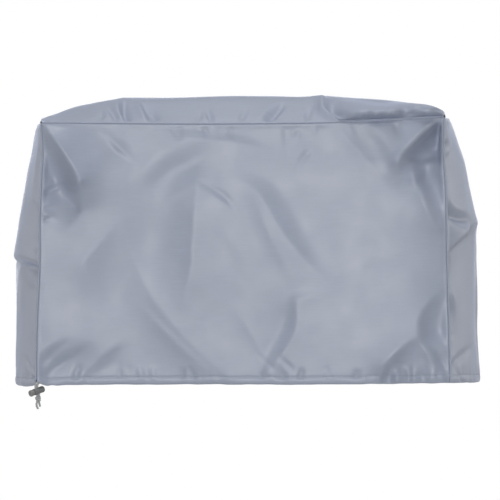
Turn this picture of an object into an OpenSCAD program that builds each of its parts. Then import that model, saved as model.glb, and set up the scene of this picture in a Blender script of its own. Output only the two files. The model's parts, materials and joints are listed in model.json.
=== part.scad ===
// Drawstring cover for a table grill: five sewn cloth panels, a hem folded over a
// drawcord, and a spring cord lock that grips both ends of the cord at the front left.
// Millimetres. +Z is up and the front faces -Y. The origin is where the grill's lid
// carries the cover: the middle of the flat underside of the crown.

/* [Cover] */
// Width between the left and right corner seams, at the top
cover_w = 614; // [400:2:900]
// Depth between the front and back panels, outside
cover_d = 430; // [300:5:700]
// Height of the walls, from the bottom of the hem to the top seams
cover_h = 394; // [280:2:600]
// Thickness of the coated cloth
cloth_t = 0.6; // [0.4:0.1:0.9]
// Width of the seam allowance that is turned inside
seam_w = 10; // [7:1:14]

/* [Drape over the grill] */
// Rise of the top panel from its seams to where the lid carries it
crown_h = 42; // [15:1:70]
// Run of the slope from each side seam to the flat of the crown
crown_run_x = 155; // [90:5:180]
// Run of the slope from the front and back seams to the flat of the crown
crown_run_y = 130; // [80:5:135]
// How far each corner seam leans out between the top and the hem
hem_flare = 7; // [0:1:15]
// How far the left panel bows out at the middle of its depth
left_bow = 32; // [15:1:70]
// How far the right panel bows out at the middle of its depth
right_bow = 44; // [15:1:70]
// Height over which the left bow grows, from the top seam down to its knee
left_knee = 200; // [120:5:240]
// Height over which the right bow grows, from the top seam down to its knee
right_knee = 155; // [120:5:240]

/* [Hem] */
// Height of the folded hem that the drawcord runs in
hem_h = 13; // [11:1:18]
// Gap between the stitched edge of the hem and the wall behind it
ply_gap = 0.1; // [0.05:0.05:0.3]
// Length of hem left open on each side of the corner where the cord comes out
exit_clear = 22; // [20:1:30]

/* [Drawcord] */
// Diameter of the drawcord
cord_d = 3.2; // [2.6:0.1:3.4]
// Clearance round the cord in the hem
cord_clear = 0.3; // [0.2:0.1:0.6]
// Radius of the cord's turn at each hem corner
corner_r = 8; // [7:0.5:9]
// Radius of the turn down out of the hem
exit_r = 4.5; // [4:0.25:6]
// Straight stretch of each strand above and below the lock
strand_drop = 1; // [0.8:0.1:2]
// Distance of the cord's way out from the two walls of its corner
exit_in = 4; // [4:0.25:5]
// Height of the knot under the lock
knot_h = 8; // [6:0.5:12]
// Diameter of the knot at its widest
knot_d = 9; // [8:0.5:12]

/* [Cord lock] */
// Outside diameter of the barrel and of the button
barrel_d = 9.8; // [9.4:0.2:11]
// Wall of the barrel
barrel_wall = 1.1; // [0.8:0.1:1.2]
// Distance from the cords' middle to the closed end of the barrel
barrel_back = 12; // [11.5:0.25:15]
// Distance from the cords' middle to the open rim of the barrel
barrel_front = 6.2; // [5.5:0.1:7]
// Thickness of the barrel's closed end
barrel_end = 1.2; // [0.8:0.1:1.4]
// Rounding of the barrel's closed end
barrel_fillet = 2.2; // [1:0.1:3]
// Radial clearance of the plunger in the barrel
plunger_fit = 0.1; // [0.05:0.05:0.2]
// Travel of the button
press_travel = 3.3; // [2.5:0.1:3.5]
// Gap left between the button and the rim when it is pressed home
press_gap = 0.2; // [0.1:0.1:0.5]
// Thickness of the button
button_h = 4; // [3:0.25:6]
// Rounding of the button's edge
button_fillet = 1.2; // [0.5:0.1:1.8]
// Depth of the dished face of the button
button_dish = 0.8; // [0.3:0.1:1.2]
// Clearance round each cord in the slots
slot_clear = 0.25; // [0.15:0.05:0.4]
// Depth of the spring's seat in the plunger
seat_depth = 2.4; // [1.8:0.1:2.6]
// Thickness of the plunger between its slot and the spring's seat
seat_web = 1.05; // [0.9:0.05:1.4]
// Wire diameter of the spring
wire_d = 0.6; // [0.4:0.05:0.65]
// Turns of the spring
spring_turns = 4; // [3:0.5:4]
// Tilt of the barrel from level
lock_tilt = 17; // [8:1:19]
// Turn of the barrel's button towards the front
lock_turn = 35; // [20:1:45]

/* [Hidden] */
$fn = 48;

cloth_colour = [0.60, 0.63, 0.70];
cord_colour = [0.62, 0.63, 0.65];
barrel_colour = [0.42, 0.44, 0.45];
plunger_colour = [0.50, 0.50, 0.49];
spring_colour = "silver";

// Cover
half_w = cover_w / 2;
half_d = cover_d / 2;
hem_w = half_w + hem_flare;
inner_d = half_d - cloth_t;
seam_z = cloth_t - crown_h;
hem_z = seam_z - cover_h;
under_top = seam_z - cloth_t;
crown_steps = 6;
bow_steps = 7;
knee_ease = 0.3;
depth_steps = 14;

// Hem: a fold round the cord, then a ply that rises to the stitching
cord_r = cord_d / 2;
fold_r = cord_r + cord_clear;
fold_in = cloth_t + fold_r;
fold_z = hem_z + fold_in;
hem_top = hem_z + hem_h;
corner_clear = cloth_t + seam_w;
flange_lift = 1;
fold_step = 30;

// Way out of the cord at the front left corner: two strands hang side by side
exit_z = fold_z - exit_r - strand_drop;
exit_at = [-hem_w + exit_in, -half_d + exit_in, exit_z];
front_way = [-2, 1, 0];
left_way = [0, -1, 0];
arc_step = 15;
strand_gap = 0.2;
strand_off = (cord_d + strand_gap) / 2;

// Lock: its own axes have X along the barrel, towards the closed end, and Z along the cords
barrel_r = barrel_d / 2;
bore_r = barrel_r - barrel_wall;
shaft_r = bore_r - plunger_fit;
slot_r = cord_r + slot_clear;
grip_clear = 0.05;
grip = strand_off + cord_r + grip_clear;
slot_l = 2 * grip + press_travel;
button_in = -(barrel_front + press_travel + press_gap);
shaft_end = grip + seat_web + seat_depth;
bore_end = barrel_back - barrel_end;
cut_past = 1;
strand_bend = 0.5;
strand_out = barrel_r + strand_bend;
lock_drop = 2 * strand_drop + strand_out * cos(lock_tilt);
lock_shift = strand_out * sin(lock_tilt);
lock_at = exit_at + heading(lock_shift, -lock_drop);
knot_top = -lock_drop - strand_out * cos(lock_tilt) - 2 * strand_drop;
knot_at = exit_at + heading(2 * lock_shift, knot_top);

// Free ends of the cord below the knot, as [along the barrel, across it, down]
long_tail = [[0, 0, 0], [0, 0, -2], [0.4, 0.3, -6], [1.6, 0.4, -10], [3.2, 0.2, -14]];
short_tail = [[0, 0, 0], [0, 0, -2], [0.8, -0.3, -5], [1.8, -0.4, -8]];

// A point in the upright plane that holds the barrel, from its run along that plane and its height
function heading(run, up) = [run * cos(lock_turn), run * sin(lock_turn), up];
function across(out) = [-out * sin(lock_turn), out * cos(lock_turn), 0];

// Growth from 0 to 1: rise ends smoothly, and lift ends in a knee
function rise(s) = s <= 0 ? 0 : s >= 1 ? 1 : sin(90 * s);
function lift(s) = s <= 0 ? 0 : s >= 1 ? 1 : s * (1 + knee_ease - knee_ease * s);
function unit(v) = v / norm(v);
function reversed(list) = [for (i = [len(list) - 1:-1:0]) list[i]];

// Lines of a panel across one of its two ways: edge, end of the seam margin, slope, flat, and back
function slope_lines(half, run, steps) =
    let (up = [for (k = [0:steps]) -half + seam_w + run * k / steps])
    concat([-half], up, -1 * reversed(up), [half]);

function crown(x, y) =
    crown_h
    * rise((half_w - seam_w - abs(x)) / crown_run_x)
    * rise((inner_d - seam_w - abs(y)) / crown_run_y);

// Lean of the corner seams at a height, and the bow of a side panel at a place on it
function lean(z) = hem_flare * (seam_z - z) / cover_h;
function bow(side, y, z) =
    let (out = side < 0 ? left_bow : right_bow, run = side < 0 ? left_knee : right_knee)
    out * rise((inner_d - seam_w - abs(y)) / (inner_d - seam_w)) * lift((under_top - seam_w - z) / run);

// Lines of a side panel from front to back, with one where the hem opens for the cord
side_ys =
    let (start = -inner_d + exit_clear, step = -2 * start / depth_steps)
    concat(
        [-inner_d, -inner_d + seam_w],
        [for (k = [0:depth_steps]) start + step * k],
        [inner_d - seam_w, inner_d]
    );

// Section of a side panel as [outer, inner] pairs of [inwards, up]: turned-in allowance,
// wall with its knee, round the fold of the hem, and up its inner ply
function wall_rows(side) =
    let (run = side < 0 ? left_knee : right_knee)
    concat(
        [
            [[seam_w, under_top], [seam_w, under_top - cloth_t]],
            [[0, under_top], [cloth_t, under_top - cloth_t]]
        ],
        [
            for (k = [0:bow_steps])
                let (z = under_top - seam_w - run * k / bow_steps)
                [[0, z], [cloth_t, z]]
        ],
        [[[0, hem_top], [cloth_t, hem_top]]]
    );
fold_rows = [for (a = [0:fold_step:180]) [fold_point(fold_r + cloth_t, a), fold_point(fold_r, a)]];
ply_rows = [[[2 * cloth_t + ply_gap, hem_top], [cloth_t + ply_gap, hem_top]]];

function fold_point(r, a) = [fold_in - r * cos(a), fold_z - r * sin(a)];

// A closed cloth of even thickness from a grid of outer and inner points. A cell that is
// not kept is left open, and its neighbours get an edge there.
module cloth(outer, inner, keep) {
    rows = len(outer);
    cols = len(outer[0]);
    count = rows * cols;
    kept = function (i, j) i >= 0 && j >= 0 && i < rows - 1 && j < cols - 1 && keep(i, j);
    at = function (i, j) i * cols + j;
    edge = function (a, b) [a, b, b + count, a + count];
    faces = [
        for (i = [0:rows - 2], j = [0:cols - 2])
            if (kept(i, j))
                let (a = at(i, j), b = at(i, j + 1), c = at(i + 1, j + 1), d = at(i + 1, j))
                each concat(
                    [[a, b, c], [a, c, d]],
                    [[a + count, c + count, b + count], [a + count, d + count, c + count]],
                    kept(i - 1, j) ? [] : [edge(b, a)],
                    kept(i, j + 1) ? [] : [edge(c, b)],
                    kept(i + 1, j) ? [] : [edge(d, c)],
                    kept(i, j - 1) ? [] : [edge(a, d)]
                )
    ];
    polyhedron(points = concat([for (row = outer) each row], [for (row = inner) each row]), faces = faces);
}

// A round tube along a path, with its rings carried along without twist
module tube(path, r, sides = 8) {
    last = len(path) - 1;
    along = [for (i = [0:last]) unit(path[min(i + 1, last)] - path[max(i - 1, 0)])];
    start = abs(along[0].z) > 0.7 ? [1, 0, 0] : [0, 0, 1];
    square_to = function (v, t) unit(v - (v * t) * t);
    first = [
        for (
            i = 0, v = square_to(start, along[0]);
            i <= last;
            i = i + 1, v = square_to(v, along[min(i, last)])
        ) v
    ];
    points = [
        for (i = [0:last], k = [0:sides - 1])
            let (a = 360 * k / sides)
            path[i] + r * (cos(a) * first[i] + sin(a) * cross(along[i], first[i]))
    ];
    walls = [
        for (i = [0:last - 1], k = [0:sides - 1])
            let (next = (k + 1) % sides)
            [i * sides + k, (i + 1) * sides + k, (i + 1) * sides + next, i * sides + next]
    ];
    ends = [[for (k = [0:sides - 1]) k], [for (k = [sides - 1:-1:0]) last * sides + k]];
    polyhedron(points = points, faces = concat(walls, ends));
}

// Section of the hem's fold, inwards along X and up along Y: the part of the ring between two angles
module fold_ring(from, to) {
    intersection() {
        difference() {
            translate([fold_in, fold_z])
                circle(r = fold_r + cloth_t);
            translate([fold_in, fold_z])
                circle(r = fold_r);
        }
        translate([fold_in * (from / 90), hem_z])
            square([fold_in * (to - from) / 90, fold_in]);
    }
}

// Inner ply of the hem, from the fold up to the stitching
module hem_ply() {
    polygon([
        [fold_in + fold_r, fold_z],
        [fold_in + fold_r + cloth_t, fold_z],
        [2 * cloth_t + ply_gap, hem_top],
        [cloth_t + ply_gap, hem_top]
    ]);
}

// Extrudes a section along the width, between two places, with the section's X going inwards from the front
module along_front(from, to) {
    translate([from, -half_d, 0])
        rotate([90, 0, 90])
            linear_extrude(to - from)
                children();
}

// A flat shape that leans with the corner seams, between two heights and two distances inside a seam
module leaning(side, low, high, from, to) {
    polygon([
        [side * (half_w + lean(low) - from), low],
        [side * (half_w + lean(high) - from), high],
        [side * (half_w + lean(high) - to), high],
        [side * (half_w + lean(low) - to), low]
    ]);
}

// A thickness of cloth that starts at a distance behind the outside of the front
module behind_front(start, thick) {
    translate([0, start + thick - half_d, 0])
        rotate([90, 0, 0])
            linear_extrude(thick)
                children();
}

// A flat wall with its hem and with its allowances turned in at the top and the sides. At the left
// end its fold starts after one length, and the inner ply of its hem after another.
module flat_wall(left_fold, left_ply) {
    flange_low = hem_top + flange_lift;
    flange_top = under_top - cloth_t - ply_gap;
    top_flange_w = half_w - seam_w - ply_gap;
    color(cloth_colour)
        union() {
            behind_front(0, cloth_t)
                for (side = [-1, 1])
                    leaning(side, fold_z, seam_z, 0, half_w + hem_flare);
            along_front(-hem_w + left_fold, hem_w - fold_in - ply_gap)
                fold_ring(0, 90);
            along_front(-hem_w + left_ply, hem_w - corner_clear)
                union() {
                    fold_ring(90, 180);
                    hem_ply();
                }
            translate([-top_flange_w, -inner_d, under_top - cloth_t])
                cube([2 * top_flange_w, seam_w, cloth_t]);
            behind_front(cloth_t, seam_w)
                for (side = [-1, 1])
                    leaning(side, flange_low, flange_top, cloth_t + ply_gap, 2 * cloth_t + ply_gap);
        }
}

module front_panel() {
    flat_wall(corner_clear, exit_clear);
}

module back_panel() {
    rotate(180)
        flat_wall(fold_in + ply_gap, corner_clear);
}

// A bowed side wall. Its hem has no inner ply in the corners, where the cord turns, and no fold
// either in a corner where the cord comes out.
module side_wall(side, front_open) {
    place = function (y, p) [side * (half_w + lean(p.y) + bow(side, y, p.y) - p.x), y, p.y];
    ways = side > 0 ? side_ys : reversed(side_ys);
    walls = wall_rows(side);
    rows = concat(walls, fold_rows, ply_rows);
    outer = [for (row = rows) [for (y = ways) place(y, row[0])]];
    inner = [for (row = rows) [for (y = ways) place(y, row[1])]];
    last = len(ways) - 2;
    under = len(walls) + 90 / fold_step;
    fold_end = front_open ? last - 1 : last;
    ply_end = front_open ? last - 2 : last - 1;
    keep = function (i, j) i < len(walls) || (i < under ? j <= fold_end : j >= 1 && j <= ply_end);
    color(cloth_colour)
        cloth(outer, inner, keep);
}

module left_panel() {
    side_wall(-1, true);
}

module right_panel() {
    side_wall(1, false);
}

// The top sheet: flat at its seams, and lifted in the middle by the lid
module top_panel() {
    xs = slope_lines(half_w, crown_run_x, crown_steps);
    ys = slope_lines(inner_d, crown_run_y, crown_steps);
    outer = [for (y = reversed(ys)) [for (x = xs) [x, y, seam_z + crown(x, y)]]];
    inner = [for (row = outer) [for (p = row) p - [0, 0, cloth_t]]];
    color(cloth_colour)
        cloth(outer, inner, function (i, j) true);
}

// A quarter turn from level to straight down, and a straight stretch to its end
function turn_down(end, way) =
    let (low = end + [0, 0, strand_drop])
    concat([for (a = [0:arc_step:90]) low + exit_r * (unit(way) * (sin(a) - 1) + [0, 0, cos(a)])], [end]);

function corner_arc(x, y, from) =
    [for (a = [from:arc_step:from + 90]) [x + corner_r * cos(a), y + corner_r * sin(a), fold_z]];

// The cord in the hem, from one way down to the other: front, right, back and left
cord_x = hem_w - fold_in;
cord_y = half_d - fold_in;
arc_x = cord_x - corner_r;
arc_y = cord_y - corner_r;
arc_gap = 1;
strand_front = exit_at - heading(strand_off, 0);
strand_back = exit_at + heading(strand_off, 0);
inner_ys = [for (y = side_ys) if (abs(y) < arc_y - arc_gap) y];
left_ys = concat(reversed(inner_ys), [seam_w - inner_d]);
hem_route = concat(
    reversed(turn_down(strand_back, front_way)),
    [[-hem_w + exit_clear, -cord_y, fold_z]],
    corner_arc(arc_x, -arc_y, -90),
    [for (y = inner_ys) [cord_x + bow(1, y, hem_z), y, fold_z]],
    corner_arc(arc_x, arc_y, 0),
    corner_arc(-arc_x, arc_y, 90),
    [for (y = left_ys) [-cord_x - bow(-1, y, hem_z), y, fold_z]],
    turn_down(strand_front, left_way)
);

module drawcord() {
    color(cord_colour)
        tube(hem_route, cord_r);
}

// The two ends of the cord from the hem, through the lock, to the knot
module cord_strands() {
    color(cord_colour)
        for (side = [-1, 1])
            let (top = exit_at + heading(side * strand_off, 0))
            tube(
                [
                    top,
                    top + heading(0, -strand_drop),
                    top + heading(0, -2 * strand_drop),
                    top + heading(2 * lock_shift, knot_top + 2 * strand_drop),
                    top + heading(2 * lock_shift, knot_top + strand_drop),
                    top + heading(2 * lock_shift, knot_top)
                ],
                cord_r
            );
}

module cord_knot() {
    flat_r = strand_off + cord_r;
    bulge = knot_d / 2 - flat_r;
    arc_r = (knot_h * knot_h / 4 + bulge * bulge) / (2 * bulge);
    color(cord_colour)
        translate(knot_at - [0, 0, knot_h / 2])
            rotate_extrude()
                union() {
                    translate([0, -knot_h / 2])
                        square([flat_r, knot_h]);
                    intersection() {
                        translate([knot_d / 2 - arc_r, 0])
                            circle(r = arc_r);
                        translate([flat_r, -knot_h / 2])
                            square([knot_d, knot_h]);
                    }
                }
}

module cord_tails() {
    color(cord_colour)
        for (tail = [[-1, long_tail], [1, short_tail]])
            let (top = knot_at + heading(tail[0] * strand_off, -knot_h))
            tube([for (p = tail[1]) top + heading(p.x, p.z) + across(p.y)], cord_r);
}

// Places a shape that is drawn on the lock's own axes
module in_lock() {
    translate(lock_at)
        rotate([0, -lock_tilt, lock_turn])
            children();
}

// A revolved shape along the barrel's axis from a profile of [radius, place along the axis]
module turned() {
    rotate([0, 90, 0])
        rotate_extrude()
            children();
}

// A bar with one end rounded over
module rounded_bar(r, from, to, fillet) {
    translate([0, from])
        square([r, to - from - fillet]);
    translate([0, from])
        square([r - fillet, to - from]);
    translate([r - fillet, to - fillet])
        circle(r = fillet);
}

// Slot for both cords, right through the lock, between two places along its axis
module cord_slot(from, to) {
    translate([from + slot_r, 0, -barrel_d])
        cylinder(r = slot_r, h = 2 * barrel_d);
    translate([to - slot_r, 0, -barrel_d])
        cylinder(r = slot_r, h = 2 * barrel_d);
    translate([from + slot_r, -slot_r, -barrel_d])
        cube([to - from - 2 * slot_r, 2 * slot_r, 2 * barrel_d]);
}

module lock_barrel() {
    color(barrel_colour)
        in_lock()
            difference() {
                turned()
                    rounded_bar(barrel_r, -barrel_front, barrel_back, barrel_fillet);
                translate([-barrel_front - cut_past, 0, 0])
                    rotate([0, 90, 0])
                        cylinder(r = bore_r, h = bore_end + barrel_front + cut_past);
                cord_slot(-grip, slot_l - grip);
            }
}

module lock_plunger() {
    dish_w = barrel_r - button_fillet;
    dish_r = (dish_w * dish_w + button_dish * button_dish) / (2 * button_dish);
    button_out = button_in - button_h;
    color(plunger_colour)
        in_lock()
            difference() {
                union() {
                    turned()
                        translate([0, button_in + button_out])
                            mirror([0, 1])
                                rounded_bar(barrel_r, button_out, button_in, button_fillet);
                    translate([button_in, 0, 0])
                        rotate([0, 90, 0])
                            cylinder(r = shaft_r, h = shaft_end - button_in);
                }
                translate([button_out + button_dish - dish_r, 0, 0])
                    sphere(r = dish_r);
                cord_slot(grip - slot_l, grip);
                translate([shaft_end - seat_depth, 0, 0])
                    rotate([0, 90, 0])
                        cylinder(r = shaft_r - barrel_wall, h = seat_depth + cut_past);
            }
}

// The spring between its seat in the plunger and the closed end of the barrel
module lock_spring() {
    seat_gap = 0.05;
    coil_gap = 0.2;
    coil_r = shaft_r - barrel_wall - wire_d / 2 - coil_gap;
    from = shaft_end - seat_depth + wire_d / 2 + seat_gap;
    to = bore_end - wire_d / 2 - seat_gap;
    turn_step = 24;
    turns = 360 * spring_turns;
    color(spring_colour)
        in_lock()
            tube(
                [
                    for (a = [0:turn_step:turns])
                        [from + (to - from) * a / turns, coil_r * cos(a), coil_r * sin(a)]
                ],
                wire_d / 2,
                6
            );
}

front_panel();
back_panel();
left_panel();
right_panel();
top_panel();
drawcord();
cord_strands();
cord_knot();
cord_tails();
lock_barrel();
lock_plunger();
lock_spring();
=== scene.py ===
import json
import math

import bpy
import numpy as np
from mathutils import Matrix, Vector


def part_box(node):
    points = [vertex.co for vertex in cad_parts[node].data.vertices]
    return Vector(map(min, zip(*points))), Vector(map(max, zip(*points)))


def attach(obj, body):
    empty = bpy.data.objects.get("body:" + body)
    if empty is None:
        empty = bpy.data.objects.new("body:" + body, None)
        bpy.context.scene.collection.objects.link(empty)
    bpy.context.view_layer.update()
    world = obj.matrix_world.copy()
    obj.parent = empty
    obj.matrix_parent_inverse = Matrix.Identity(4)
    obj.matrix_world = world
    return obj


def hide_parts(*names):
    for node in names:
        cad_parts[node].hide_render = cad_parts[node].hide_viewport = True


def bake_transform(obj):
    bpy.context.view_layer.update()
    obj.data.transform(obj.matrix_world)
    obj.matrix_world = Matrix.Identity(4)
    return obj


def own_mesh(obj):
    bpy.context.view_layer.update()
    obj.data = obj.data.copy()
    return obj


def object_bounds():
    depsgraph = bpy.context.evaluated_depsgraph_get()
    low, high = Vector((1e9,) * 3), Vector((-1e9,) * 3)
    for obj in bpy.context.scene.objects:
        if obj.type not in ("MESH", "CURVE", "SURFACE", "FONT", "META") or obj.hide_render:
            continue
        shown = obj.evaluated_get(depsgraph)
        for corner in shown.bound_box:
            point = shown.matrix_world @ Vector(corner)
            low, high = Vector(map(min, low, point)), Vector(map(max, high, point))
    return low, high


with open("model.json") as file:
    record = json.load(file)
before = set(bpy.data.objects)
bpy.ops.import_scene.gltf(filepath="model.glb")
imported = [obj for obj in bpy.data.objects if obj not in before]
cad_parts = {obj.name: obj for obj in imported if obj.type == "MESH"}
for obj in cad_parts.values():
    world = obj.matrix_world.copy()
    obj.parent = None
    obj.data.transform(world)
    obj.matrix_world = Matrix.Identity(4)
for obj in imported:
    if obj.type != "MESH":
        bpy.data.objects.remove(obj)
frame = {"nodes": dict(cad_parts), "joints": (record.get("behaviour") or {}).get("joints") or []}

cad_box = [list(corner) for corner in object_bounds()]

# The studio: a plain pale floor below the fully drawn cord, white behind it, and five soft lamps: near
# the camera's line of sight, at both ends, above and behind. The camera stands level, far in front of
# the cover, with a long lens.
MM = 0.001
scene = bpy.context.scene
scene.view_settings.view_transform = "Standard"
camera_distance = 20.0
camera_lens = 960.0
camera_side = 10.5 * MM
camera_height = -233.85 * MM
camera_at = (camera_side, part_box("front_panel")[0].y - camera_distance, camera_height)
sight_end = 120.0
floor_gap = 2 * MM
floor_reach = 40.0
floor_colour = (0.62, 0.62, 0.62, 1.0)
floor_shine_through = 0.88
floor_fade = (0.45, 1.3)
white = (1.0, 1.0, 1.0, 1.0)
ambient = 0.15
lamp_aim = (0.0, 0.0, -0.22)
# Name, place, size in metres and power in watts
soft_lamps = (
    ("key_lamp", (-0.15, -6.0, 0.05), 1.1, 166.0),
    ("left_lamp", (-5.0, 2.4, 0.6), 2.6, 37.0),
    ("right_lamp", (5.0, 2.4, 0.6), 2.6, 54.0),
    ("top_lamp", (0.1, -0.8, 4.2), 2.2, 98.0),
    ("back_lamp", (0.0, 6.0, -0.2), 3.0, 95.0),
)


def place_object(name, data):
    made = bpy.data.objects.new(name, data)
    scene.collection.objects.link(made)
    return made


def add_node(tree, kind, inputs=None, **settings):
    """A shader or geometry node with its settings, and its inputs linked or set by name or number."""
    made = tree.nodes.new(kind)
    for name, value in settings.items():
        setattr(made, name, value)
    for key, value in (inputs or {}).items():
        if isinstance(value, bpy.types.NodeSocket):
            tree.links.new(value, made.inputs[key])
        else:
            made.inputs[key].default_value = value
    return made


def white_for_sight(tree):
    """1 for what the camera sees, straight, mirrored or through glass, and 0 for light on the object."""
    path = add_node(tree, "ShaderNodeLightPath")
    mirrored = add_node(
        tree, "ShaderNodeMath",
        {0: path.outputs["Is Camera Ray"], 1: path.outputs["Is Glossy Ray"]}, operation="MAXIMUM",
    )
    return add_node(
        tree, "ShaderNodeMath",
        {0: mirrored.outputs[0], 1: path.outputs["Is Transmission Ray"]}, operation="MAXIMUM",
    ).outputs[0]


def floor_material():
    material = bpy.data.materials.new("studio_floor")
    material.use_nodes = True
    tree = material.node_tree
    tree.nodes.clear()
    lit = add_node(tree, "ShaderNodeBsdfDiffuse", {"Color": floor_colour})
    glow = add_node(tree, "ShaderNodeEmission", {"Color": white, "Strength": 1.0})
    place = add_node(tree, "ShaderNodeTexCoord").outputs["Object"]
    away = add_node(tree, "ShaderNodeVectorMath", {0: place}, operation="LENGTH").outputs["Value"]
    plain = add_node(
        tree, "ShaderNodeMapRange",
        {0: away, 1: floor_fade[0], 2: floor_fade[1], 3: floor_shine_through, 4: 1.0},
    )
    share = add_node(
        tree, "ShaderNodeMath", {0: white_for_sight(tree), 1: plain.outputs[0]}, operation="MULTIPLY"
    )
    mixed = add_node(
        tree, "ShaderNodeMixShader", {0: share.outputs[0], 1: lit.outputs[0], 2: glow.outputs[0]}
    )
    add_node(tree, "ShaderNodeOutputMaterial", {"Surface": mixed.outputs[0]})
    return material


drawcord_pull = next(joint for joint in frame["joints"] if joint["name"] == "drawcord_pull")
drawn_out = drawcord_pull["range_m"][1]
floor_z = cad_box[0][2] - drawn_out - floor_gap
floor_mesh = bpy.data.meshes.new("studio_floor")
floor_mesh.from_pydata(
    [(x * floor_reach, y * floor_reach, floor_z) for x, y in ((-1, -1), (1, -1), (1, 1), (-1, 1))],
    [], [(0, 1, 2, 3)],
)
floor_mesh.materials.append(floor_material())
place_object("studio_floor", floor_mesh)

world = bpy.data.worlds.new("studio")
world.use_nodes = True
scene.world = world
world.node_tree.nodes.clear()
room = add_node(world.node_tree, "ShaderNodeBackground", {"Color": white, "Strength": ambient})
backdrop = add_node(world.node_tree, "ShaderNodeBackground", {"Color": white, "Strength": 1.0})
seen = add_node(
    world.node_tree, "ShaderNodeMixShader",
    {0: white_for_sight(world.node_tree), 1: room.outputs[0], 2: backdrop.outputs[0]},
)
add_node(world.node_tree, "ShaderNodeOutputWorld", {"Surface": seen.outputs[0]})

for lamp_name, lamp_at, lamp_size, lamp_power in soft_lamps:
    lamp = bpy.data.lights.new(lamp_name, "AREA")
    lamp.size = lamp_size
    lamp.energy = lamp_power
    lamp_object = place_object(lamp_name, lamp)
    lamp_object.location = lamp_at
    facing = Vector(np.array(lamp_aim) - np.array(lamp_at))
    lamp_object.rotation_euler = facing.to_track_quat("-Z", "Y").to_euler()

camera = bpy.data.cameras.new("camera")
camera.lens = camera_lens
camera.clip_end = sight_end
camera_object = place_object("camera", camera)
camera_object.location = camera_at
camera_object.rotation_euler = (math.radians(90), 0, 0)
scene.camera = camera_object

# Top panel: a flat-cut sheet of coated plain-weave polyester. The closed lid lifts it, and its four
# edges are sewn to the walls and turned inside, so each seam shows as a narrow groove.
cover_w = 614 * MM
cover_d = 430 * MM
wall_h = 394 * MM
half_d = cover_d / 2
cloth_t = 0.6 * MM
seam_roll = 1.4 * MM
turned_depth = 1.01 * seam_roll
seam_gap = 0.03 * MM
seam_open = 1.1 * MM
seam_allowance = 8 * MM
seam_hold = 2.5 * MM
seam_flat = 4 * MM
edge_fade = 7 * MM
cell = 2.7 * MM
coarse_cell = 3.3 * MM
crown_run = 130 * MM
front_run = 46 * MM
behind_from = 1.6 * front_run
behind_run = 100 * MM
bow_run = 130 * MM
turned_in = 9 * MM
left_out = 4.6 * MM
right_out = 5 * MM
lid_sharp = 9
crumple = 0.2
crumple_most = 14 * MM
crumple_size = 11 * MM
crumple_seed = 17
fold_step = 5.0
weak_fold = 0.4
solver_rounds = 400
top_level = 200 * MM
pucker_slant = 0.5
pucker_reach = (0.4, 1.0)
pucker_wide = (3.5 * MM, 7.5 * MM)
pucker_high = (-1.0, 0.8)
cloth_colour = (0.298, 0.330, 0.410, 1.0)
cloth_pale = (0.321, 0.354, 0.440, 1.0)
cloth_sheen = (0.20, 0.26, 0.45, 1.0)
sheen_weight = 0.45
sheen_rough = 0.35
cloth_specular = 0.40
cloth_rough = 0.38
weathered_rough = 0.47
patch_rough = 0.08
yarn_pitch = 0.55 * MM
yarn_waver = 0.6
yarn_bump = 0.18
yarn_depth = 0.08 * MM
slub_stretch = (30.0, 900.0, 1.0)
cloud_grain = 26.0


def smooth_line(points):
    """A smooth function through a few given points, all in millimetres."""
    at, values = np.array(points, float).T * MM
    slopes = np.gradient(values, at)

    def value(x):
        x = np.clip(x, at[0], at[-1])
        k = np.clip(np.searchsorted(at, x) - 1, 0, len(at) - 2)
        h = at[k + 1] - at[k]
        u = (x - at[k]) / h
        v = 1 - u
        start = values[k] * (1 + 2 * u) + slopes[k] * h * u
        end = values[k + 1] * (1 + 2 * v) - slopes[k + 1] * h * v
        return start * v * v + end * u * u

    return value


def rise(share):
    return np.sin(np.clip(share, 0, 1) * math.pi / 2)


def ease(share):
    share = np.clip(share, 0, 1)
    return share * share * (3 - 2 * share)


# The side seams down the front, the top seam across it, and the crown over the lid and behind it
left_seam = smooth_line([
    (0, -305), (45, -302.5), (87, -304.5), (152, -307), (207, -307), (312, -311.5), (394, -312.5),
])
right_seam = smooth_line([(0, 304), (58, 303), (112, 306.5), (183, 307.5), (297, 310.5), (394, 313)])
top_seam = smooth_line([(-305, -41), (-20, -42.5), (130, -40.5), (235, -36), (305, -32)])
crown_line = smooth_line([
    (-309, 0), (-306, 0.3), (-303.5, 4.2), (-298.5, 6.6), (-286, 10.9), (-262, 18.6), (-226, 28),
    (-190, 35.4), (-181, 37.6), (-172, 38), (-82, 39.8), (-10, 40.4), (60, 38.6), (100, 38.4),
    (115, 40), (124, 39.8), (151, 38), (187, 34.2), (223, 29), (259, 22), (277, 18.8), (295, 11.5),
    (302, 6.4), (305.5, 0.4), (309, 0),
])
crown_behind = smooth_line([
    (-309, 0), (-306, 0.2), (-300, 4), (-262, 15), (-200, 29), (-120, 36.5), (0, 39), (110, 36.5),
    (190, 30), (255, 19), (300, 4), (306, 0.2), (309, 0),
])
# The roll of slack cloth over the front seam at the right: how far it stands out, and over what run
front_puff = smooth_line([
    (-305, 0), (60, 0), (90, 0), (110, 0.5), (136, 12), (160, 34), (190, 43), (225, 43), (246, 30),
    (262, 46), (285, 54), (298, 38), (305, 8),
])
puff_run = smooth_line([(-310, 52), (150, 52), (235, 52), (262, 84), (310, 84)])


def sewn_edge():
    """Lines of a sewn edge, from the raw end of its allowance to the flat cloth: [inwards, depth]."""
    corner = seam_roll * (1 + math.sqrt(2))
    turn = seam_roll * (1 + math.sqrt(0.5))
    raw = [turn + share * seam_allowance for share in (math.sqrt(0.5), math.sqrt(0.125))]
    shoulder = [
        (corner - seam_roll * math.sin(a) + seam_open, seam_roll * (1 - math.cos(a)))
        for a in np.radians(np.arange(135, -1, -22.5))
    ]
    return np.array([(way + seam_gap, way) for way in raw] + shoulder)


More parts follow.
